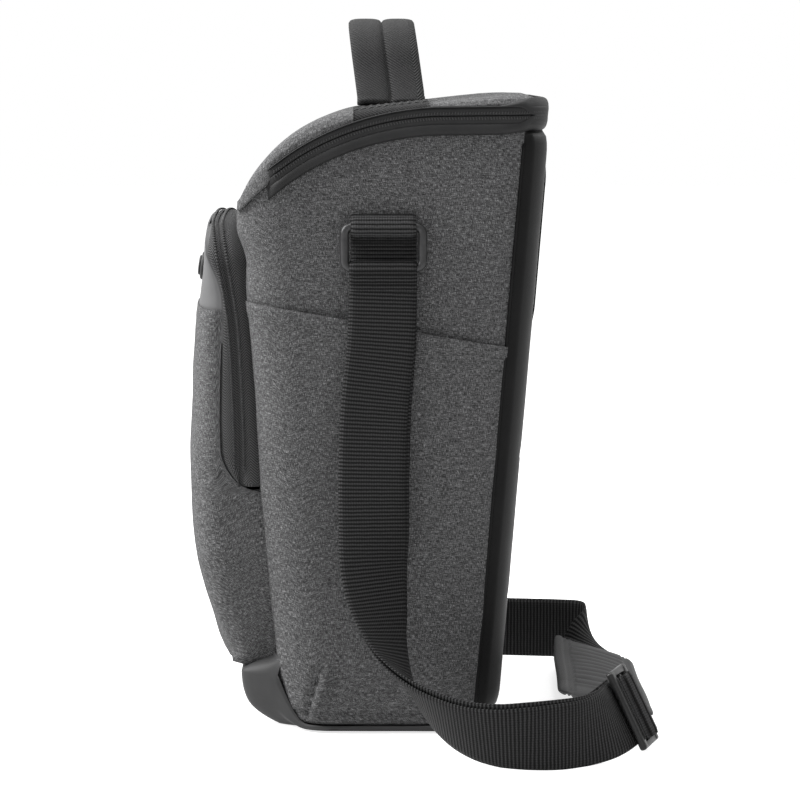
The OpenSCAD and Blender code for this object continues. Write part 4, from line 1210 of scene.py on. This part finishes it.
def smooth_lookup(z, table, reach=5.0):
    z = np.asarray(z, float)
    return sum(lookup(z + d, table) for d in np.linspace(-reach, reach, 5)) / 5


def pocket_hw(z):
    z = np.asarray(z, float)
    over = np.clip(z - ARCH_TURN, 0, ARCH_R)
    low = POCKET_W - 0.2 * np.maximum(80 - z, 0)
    return np.where(z > ARCH_TURN, POCKET_W - ARCH_R + np.sqrt(ARCH_R ** 2 - over ** 2), low)


def face_y(x, z):
    """The body's front at width x and height z."""
    over = np.clip(np.abs(x) - (wall_w(z) - CORNER_R), 0, CORNER_R)
    return wall_front(z) + CORNER_R - np.sqrt(CORNER_R ** 2 - over ** 2)


# The front's half section: shares of the half width, and of the way back from the bulge to the side
BOW = catmull([(0, 0), (0.25, 0.015), (0.5, 0.07), (0.7, 0.18), (0.84, 0.34), (0.93, 0.54), (0.98, 0.77),
               (1, 1)], 0.035)


def front_row(z, bulge, side, edge, width, inset=0.0):
    """A row of points round the pocket's front at height z, with its side walls back to edge."""
    x = BOW[:, 0] * (width - inset)
    y = bulge + inset + (side - bulge - inset) * BOW[:, 1]
    back = np.linspace(0, 1, 9)[1:]
    x = np.concatenate([x, np.full(8, width - inset)])
    y = np.concatenate([y, side + (edge - side) * back])
    half = np.stack([x, y, np.broadcast_to(z, x.shape)], axis=1)
    return np.concatenate([half[:0:-1] * (-1, 1, 1), half])


def skin_side(z, edge):
    """Where the rounded front turns into the side wall."""
    return np.minimum(lookup(z, [(30, -55), (60, -63), (100, -67.5), (140, -68.6), (235, -68)]), edge - 1.2)


HEM_Z = 194.3


def pocket_skin():
    """The outer cloth, from its tucked lower edge over the boot to the slip pocket's hem."""
    rows = []
    for bulge, z, narrow in ((-47, 32.6, 7), (-53, 29, 4.2), (-60, 27.6, 2), (-65, 28.6, 0.7)):
        width = float(pocket_hw(36)) - narrow
        edge = float(face_y(width, z)) + 1.5
        rows.append(front_row(z, bulge, min(-46.0, bulge + 5), edge, width))
    heights = (np.linspace(32, 109, 54), np.linspace(110, 128, 20), np.linspace(130, HEM_Z, 44))
    for z in np.concatenate(heights):
        edge = lookup(z, EDGE_YS)
        edge = max(edge, float(face_y(float(pocket_hw(z)), z)) + 1.5) if z < 109.5 else edge
        rows.append(front_row(z, smooth_lookup(z, BULGE_YS), skin_side(z, edge), edge, float(pocket_hw(z))))
    grid = np.array(rows)
    # the hem slopes down towards both sides
    sag = 0.9 * (np.abs(grid[..., 0]) / POCKET_W) ** 1.6
    grid[..., 2] -= sag * np.clip((grid[..., 2] - 150) / (HEM_Z - 150), 0, 1)
    low = np.exp(-np.maximum(grid[..., 2] - 31, 0) / 13)
    folds = np.sin(grid[..., 0] / 3.6 + 1.3 * np.sin(grid[..., 0] / 9.0)) + 0.6 * np.sin(grid[..., 1] / 2.3)
    depth = lumps(grid, 38, 1.0, 11.0) + lumps(grid, 15, 0.35, 13.0) + 0.75 * folds * low
    hem = HEM_Z - sag - grid[..., 2]
    depth += 0.5 * np.clip((6.5 - hem) / 1.2, 0, 1)
    fixed = np.clip((hem + 0.1) / 8, 0.15, 1)
    return outward(grid, depth * fixed)


def bow(x, z):
    """How far the arch's top sinks towards its two shoulders."""
    return 3.4 * (x / 54) ** 2 * np.clip((z - ARCH_TURN) / ARCH_R, 0, 1)


def arch_path(step=1.3):
    """The arch over the pocket as (x, z, outward x, outward z), from the lower right up and over."""
    half = [(POCKET_W, z, 1, 0) for z in np.arange(FOLD_Z + 0.4, ARCH_TURN, step)]
    for a in np.arange(0, 90, math.degrees(step / ARCH_R)):
        c, d = math.cos(math.radians(a)), math.sin(math.radians(a))
        half.append((POCKET_W - ARCH_R + ARCH_R * c, ARCH_TURN + ARCH_R * d, c, d))
    half += [(x, POCKET_TOP, 0, 1) for x in np.arange(POCKET_W - ARCH_R, 0, -step)]
    half.append((0, POCKET_TOP, 0, 1))
    left = [(-x, z, -nx, nz) for x, z, nx, nz in half[-2::-1]]
    return np.array(half + left)


ARCH = arch_path()
ARCH[:, 1] -= bow(ARCH[:, 0], ARCH[:, 1])


TOPMOST = ARCH[:, 3] ** 2


def arch_rows(depths, stands):
    """A grid along the arch: for each column, its depth at each path point and how far it stands out."""
    columns = []
    for y, stand in zip(depths, stands):
        sideways = ARCH[:, 0] + ARCH[:, 2] * stand
        columns.append(np.stack([sideways, y, ARCH[:, 1] + ARCH[:, 3] * stand], axis=1))
    return np.stack(columns, axis=1)


def add_pocket_zip():
    z = ARCH[:, 1]
    middle = smooth_lookup(z, ZIP_YS, 4)
    edge = np.minimum(lookup(z, EDGE_YS), middle - 0.9)
    rear_edge = np.maximum(face_y(ARCH[:, 0], z) + 1.5, middle + 3)
    low = np.maximum(lookup(z, EDGE_YS), middle - 0.7)
    front = [edge + 0.35 + (middle - edge - 0.43) * k for k in np.linspace(0, 1, 9)]
    share = np.linspace(0, 1, 9)
    sides = [-0.9, 0.4, 0.9, 1.1, 1.15, 1.1, 1.0, 0.8, 0.1]
    front_out = [a + TOPMOST * (0.2 - 4.6 * (1 - k) ** 2) for a, k in zip(sides, share)]
    piece = sheet_piece("Flap_gusset", arch_rows(front, front_out), TAPE, 0.7)
    ride(piece, "flap", "flap_front_gusset", slot="black_twill_tape")
    depths = (0, 0.16, 0.2, 0.29, 0.38, 0.47, 0.56, 0.65, 0.74, 0.83, 0.92, 1)
    rear = [low + (rear_edge - low) * k for k in depths]
    sides = [-0.7, 0.1, 0.85, 1.05, 1.1, 1.05, 0.9, 0.6, 0.2, -0.3, -0.8, -1.4]
    rear_out = [a + TOPMOST * (0.2 - 5.5 * k ** 1.6) for a, k in zip(sides, np.linspace(0, 1, 12))]
    piece = sheet_piece("Pocket_gusset", arch_rows(rear, rear_out), TAPE, 0.7)
    ride(piece, "bag", "pocket_rear_gusset", slot="black_twill_tape")
    keep = z > 119
    out = np.stack([ARCH[:, 2], np.zeros(len(z)), ARCH[:, 3]], axis=1)
    for name, body, sign, node in (("Flap_coil", "flap", -1, "pocket_coil_front"),
                                   ("Pocket_coil", "bag", 1, "pocket_coil_rear")):
        line = arch_rows([middle + sign * 2.2], [1.3 - 0.2 * TOPMOST])[keep, 0]
        across = np.broadcast_to((0, sign, 0), line.shape)
        coil = teeth(name, line, across.astype(float), out[keep], COIL, body, "zip_coil_nylon",
                     pitch=1.45, size=(0.5, 1.3, 0.5), slant=0.25)
        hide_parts(node)
    base = (-POCKET_W - 1.6, float(lookup(121, ZIP_YS)), 121)
    add_slider("pocket", base, "pocket_zip_slider", "pocket_zip_pull", ("pocket_slider", "pocket_pull"))


def facing_rows(heights, inset):
    rows = []
    for z in heights:
        edge = min(float(lookup(z, EDGE_YS)), float(smooth_lookup(z, ZIP_YS, 4)) - 0.9) + 1.9
        width = float(pocket_hw(min(z, POCKET_TOP - 0.4))) - 0.1
        row = front_row(z, float(lookup(z, FACING_YS)), min(edge - 1.9, -65.5), edge, width, inset)
        row[:, 2] -= bow(row[:, 0], z)
        rows.append(row)
    return np.array(rows)


def add_pocket():
    skin = sheet_piece("Pocket_skin", pocket_skin(), GREY_CLOTH, 1.3, shift=(11, 43))
    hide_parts("slip_pocket")
    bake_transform(skin)

    facing = facing_rows(np.linspace(178, POCKET_TOP - 0.3, 46), 0.0)
    facing = outward(facing, lumps(facing, 30, 0.5, 21.0))
    ride(sheet_piece("Flap_facing", facing, FACE_COAT, 0.8), "flap", "flap_facing",
         slot="grey_coated_fabric")
    lining = facing_rows(np.linspace(FOLD_Z + 1.5, POCKET_TOP - 1.2, 60), 2.6)
    lower = np.clip((180 - lining[..., 2]) / 30, 0, 1)
    lining[..., 1] -= 1.5 * lower * (np.abs(lining[..., 0]) < 58)
    ride(sheet_piece("Flap_panel", lining, LINING, 0.7), "flap", "flap_panel", slot="grey_woven_fabric")

    # the pouch's own wall inside the cloth, closed by a panel against the body
    heights = np.linspace(36, FOLD_Z - 1.5, 30)
    shell = []
    for z in heights:
        width = float(pocket_hw(z))
        back = float(face_y(width - 2.2, z)) - 1.2
        row = front_row(z, float(smooth_lookup(z, BULGE_YS)), float(skin_side(z, back)), back, width, 2.2)
        xs = np.linspace(width - 2.2, 2.2 - width, 40)[1:-1]
        rear = np.stack([xs, face_y(xs, z) - 1.2, np.full(len(xs), z)], axis=1)
        shell.append(np.concatenate([row, rear]))
    shell = np.array(shell)
    ride(sheet_piece("Pocket_shell", shell, LINING, 0.8, closed=True), "bag", "pocket_shell",
         slot="grey_woven_fabric")
    ride(cap_grid(shell[0] + (0, 0, 0.4), "Pocket_floor", LINING), "bag", slot="grey_woven_fabric")

    # stud that closes the slip pocket, on its tilted seat
    tilt = math.radians(7.3)
    normal = np.array([0, -math.cos(tilt), math.sin(tilt)])
    up = np.array([0, math.sin(tilt), math.cos(tilt)])
    seat = np.array([0, -77.0, 209.0])
    shapes = [plate(seat + normal * 0.9, ((1, 0, 0), up, normal), (13.6, 13.6, 2.4), 6.79, 1.1, 6),
              plate(seat + normal * 2.6, ((1, 0, 0), up, normal), (9.4, 9.4, 1.2), 4.69, 0.55, 6)]
    ride(joined("Flap_stud", shapes, GREY_COAT), "flap", "flap_stud", slot="grey_coated_fabric")


add_pocket_zip()
add_pocket()

# ---------------------------------------------------------------- rings, anchors and strap fittings

RING_Y, RING_X, RING_Z = 8.25, 90.0, 232.5
RING_W, RING_H, RING_WIRE, RING_BEND = 38.3, 22.0, 3.6, 3.2


def ring_path():
    """The wire's centre line in the plane x = 0, from the middle of the upper bar."""
    half, drop = RING_W / 2 - RING_WIRE / 2, RING_H - RING_WIRE
    outline = rounded_rectangle(2 * half, drop, RING_BEND, 8) - (0, drop / 2)
    return np.stack([np.zeros(len(outline)), outline[:, 0], outline[:, 1]], axis=1)


def add_ring(side, label):
    centre = np.array([side * RING_X, RING_Y, RING_Z])
    path = ring_path()
    path = np.concatenate([path, path[:1]])
    path = resample(path, 0.8)[:-1] + centre
    wire = circle(RING_WIRE / 2 + 0.15, 16)
    ring = swept("Ring_" + label, path, np.array([1.0, 0, 0]), wire, METAL, closed=True)
    ride(ring, label + "_ring", "ring_" + label, slot="dark_metal")

    turn = np.array([side, 1, 1])
    keys = [(-4.9, -19), (-4.7, -12), (-4.2, -7), (-2.2, -4.4), (0.4, -3.6), (2.3, -1.9), (2.75, 0.3),
            (2.1, 2.6), (0.3, 3.9), (-2.2, 4.3), (-4.8, 4.6)]
    flat = catmull(keys, 0.5)
    line = np.stack([flat[:, 0], np.zeros(len(flat)), flat[:, 1]], axis=1)
    slope = tangents(flat)
    normal = np.stack([slope[:, 1], np.zeros(len(flat)), -slope[:, 0]], axis=1)
    strip = webbing_strip("Anchor_" + label, line * turn + centre, normal * turn, 29.0, 1.4, LOOP_WEB, 0.22)
    ride(strip, "bag", "strap_anchor_" + label, slot="black_webbing")

    low = -(RING_H - RING_WIRE)
    arc = [(2.65 * math.cos(a), low + 2.65 * math.sin(a)) for a in np.linspace(0.15, PI - 0.15, 9)]
    rise = [(0.95, -28.6), (1.15, low - 6), (2.3, low - 2.4)]
    keys = rise + arc + [(-x, z) for x, z in rise[::-1]]
    flat = catmull(keys, 0.5)
    line = np.stack([flat[:, 0], np.full(len(flat), -0.25), flat[:, 1]], axis=1)
    slope = tangents(flat)
    normal = np.stack([slope[:, 1], np.zeros(len(flat)), -slope[:, 0]], axis=1)
    loop = webbing_strip("Strap_loop_" + label, line * turn + centre, normal * turn, 30.0, 1.5, STRAP_WEB,
                         0.1, 2.5)
    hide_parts("strap_loop_" + label)
    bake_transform(loop)


def add_adjuster():
    along = np.array(ADJUSTER_ALONG) / np.linalg.norm(ADJUSTER_ALONG)
    across = np.array(ADJUSTER_ACROSS, float)
    across -= along * across.dot(along)
    across /= np.linalg.norm(across)
    out = np.cross(along, across)
    axes = (along, across, out)

    def at(x, y, z):
        return np.array(ADJUSTER_AT) + along * x + across * y + out * z

    shapes = [plate(at(x, 0, 3.9), axes, (4.6, 37.4, 3.4), 1.3, 1.2) for x in (-9, 9)]
    shapes += [plate(at(0, y, 3.9), axes, (22, 3.4, 2.8), 1.0, 0.9) for y in (-17, 17)]
    shapes.append(rod(at(0, -17, 3.9), at(0, 17, 3.9), 1.3))
    ride(joined("Adjuster_frame", shapes, ACETAL), "adjuster", "adjuster_frame", slot="black_acetal")
    keys = [(-6.6, 4.9), (-5.6, 6.4), (-3.2, 7.9), (0, 8.5), (3.2, 7.9), (5.6, 6.4), (6.6, 4.9)]
    flat = catmull(keys, 0.3)
    line = np.array([at(x, 0, z) for x, z in flat])
    slope = tangents(flat)
    normal = np.array([out * s[0] - along * s[1] for s in slope])
    hump = webbing_strip("Adjuster_webbing", line, normal, 30.0, 1.4, LOOP_WEB, 0.45, 2.1)
    ride(hump, "adjuster", "adjuster_webbing", slot="black_webbing")


for ring_side, ring_label in ((1, "right"), (-1, "left")):
    add_ring(ring_side, ring_label)
add_adjuster()

# ---------------------------------------------------------------- padded pieces

PAD_L, PAD_W, PAD_TILT_DEG = 128.0, 47.5, 15.5


def pillow(name, width, height, thick, material):
    """A closed flat cushion with rounded corners, ready to be inflated. Millimetres, lying flat."""
    rings = []
    outline = rounded_rectangle(1.0, height / width, 0.06, 8)
    for share, lift in ((1.0, 0.0), (0.96, 0.5), (0.85, 0.8), (0.65, 1.0), (0.42, 1.0), (0.2, 1.0)):
        ring = outline * share * width
        rings.append(np.concatenate([ring, np.full((len(ring), 1), lift * thick / 2)], axis=1))
    upper = np.array(rings)
    lower = upper[:0:-1] * (1, 1, -1)
    grid = np.concatenate([lower, upper])
    rows, cols = grid.shape[:2]
    faces = [tuple(range(cols))[::-1], tuple(range((rows - 1) * cols, rows * cols))]
    for i in range(rows - 1):
        for j in range(cols):
            k = (j + 1) % cols
            faces.append((i * cols + j, i * cols + k, (i + 1) * cols + k, (i + 1) * cols + j))
    flat = grid.reshape(-1, 3)
    uvs = [tuple(flat[v][:2]) for face in faces for v in face]
    return make_object(name, flat, faces, uvs, material)


def apply_modifiers(piece):
    graph = bpy.context.evaluated_depsgraph_get()
    made = bpy.data.meshes.new_from_object(piece.evaluated_get(graph), depsgraph=graph)
    piece.modifiers.clear()
    piece.data = made


def inflate(piece, pressure, seam_inset):
    """Voxel remesh, then a short cloth simulation under pressure with the sewn border held."""
    material = piece.data.materials[0]
    remesh = piece.modifiers.new("remesh", "REMESH")
    remesh.mode = "VOXEL"
    remesh.voxel_size = 0.004
    apply_modifiers(piece)
    co = np.array([v.co for v in piece.data.vertices])
    reach = np.abs(co[:, :2]).max(axis=0)
    border = np.max(np.abs(co[:, :2]) - (reach - seam_inset), axis=1)
    held = piece.vertex_groups.new(name="seam")
    held.add([int(i) for i in np.where(border > 0)[0]], 1.0, "REPLACE")
    cloth = piece.modifiers.new("cloth", "CLOTH")
    cloth.settings.use_pressure = True
    cloth.settings.uniform_pressure_force = pressure
    cloth.settings.mass = 0.15
    cloth.settings.tension_stiffness = 25
    cloth.settings.compression_stiffness = 25
    cloth.settings.bending_stiffness = 1.0
    cloth.settings.vertex_group_mass = "seam"
    cloth.settings.effector_weights.gravity = 0.0
    cloth.collision_settings.use_collision = False
    cloth.point_cache.frame_start = 1
    cloth.point_cache.frame_end = 20
    for step in range(1, 21):
        bpy.context.scene.frame_set(step)
    apply_modifiers(piece)
    bpy.context.scene.frame_set(1)
    new = np.array([v.co for v in piece.data.vertices])
    move = new - co
    far = np.linalg.norm(move, axis=1, keepdims=True)
    new = co + move * np.minimum(1, 0.0035 / np.maximum(far, 1e-9))
    piece.data.vertices.foreach_set("co", new.astype(np.float32).ravel())
    smooth = piece.modifiers.new("smooth", "SUBSURF")
    smooth.levels = 2
    apply_modifiers(piece)
    piece.data.materials.clear()
    piece.data.materials.append(material)
    piece.data.polygons.foreach_set("use_smooth", [True] * len(piece.data.polygons))
    return piece


def flat_uvs(piece):
    """Lays the weave flat over a piece, from above, in millimetres."""
    mesh = piece.data
    layer = mesh.uv_layers.get("uv") or mesh.uv_layers.new(name="uv")
    co = np.array([v.co for v in mesh.vertices]) / MM
    corners = np.array([loop.vertex_index for loop in mesh.loops])
    layer.data.foreach_set("uv", co[corners, :2].astype(np.float32).ravel())


def reshape(piece, change):
    """Moves every vertex: change takes and returns points in millimetres."""
    co = np.array([v.co for v in piece.data.vertices]) / MM
    piece.data.vertices.foreach_set("co", (change(co) * MM).astype(np.float32).ravel())
    piece.data.update()


def pad_seams(co):
    """Sewn lines along both borders, and ribs across the middle, pressed into the flat pad."""
    x, y, z = co.T
    side = np.sign(z)
    thick = np.clip(np.abs(z) / 1.5, 0, 1)
    groove = np.zeros(len(co))
    for edge in (15.2, 17.0):
        groove += 1.0 * np.exp(-((np.abs(y) - edge) / 0.55) ** 2)
    inside = np.clip((14.2 - np.abs(y)) / 1.5, 0, 1) * np.clip((PAD_L / 2 - 12 - np.abs(x)) / 3, 0, 1)
    rib = np.abs(np.sin(PI * (x + 3) / 9.5)) ** 0.6
    groove += inside * 1.3 * (1 - rib)
    z = z - side * thick * np.minimum(groove, np.abs(z) * 0.7)
    swell = 0.5 * inside * side
    return np.stack([x, y, z + swell], axis=1)


def pad_lie(co):
    """Lays the pad on the floor behind the bag: tilted, arched, its near end curled up."""
    x, y, z = co.T
    tilt = math.radians(PAD_TILT_DEG)
    z = z - 0.0022 * (y ** 2 - 60) + 0.6 * np.sin(x / 17)
    curl = np.clip((x - 44) / 18, 0, 1)
    z = z + 0.9 * curl ** 2
    front = np.clip((-y - 12) / 11, 0, 1)
    z = z + 3.4 * front * np.clip((-x - 20) / 40, 0, 1) ** 2
    world_y = 112.5 + y * math.cos(tilt) + z * math.sin(tilt) - 0.035 * (x + 20) * np.clip(-y / 12, 0, 1)
    world_z = 9.9 - y * math.sin(tilt) + z * math.cos(tilt) + np.maximum(x - 40, 0) * 0.07
    return np.stack([x + 1.5, world_y, np.maximum(world_z, 0.35 + 0.02 * np.abs(y))], axis=1)


def add_pad():
    pad = inflate(pillow("Shoulder_pad", PAD_L, PAD_W, 7.0, PAD_COAT), 4.0, 0.0035)
    flat_uvs(pad)
    reshape(pad, pad_seams)
    reshape(pad, pad_lie)
    ride(pad, "bag", "shoulder_pad", slot="grey_coated_fabric")


def add_divider():
    divider = inflate(pillow("Divider", 132.0, 134.0, 6.4, LINING), 3.0, 0.006)
    flat_uvs(divider)
    reshape(divider, lambda co: np.stack([co[:, 0], 26 - co[:, 2] * 0.8, 82 + co[:, 1]], axis=1))
    ride(divider, "divider", "padded_divider", slot="grey_lining")


add_pad()
add_divider()

board = bpy.data.objects["base_board"]
board.data.materials.clear()
board.data.materials.append(BOARD)
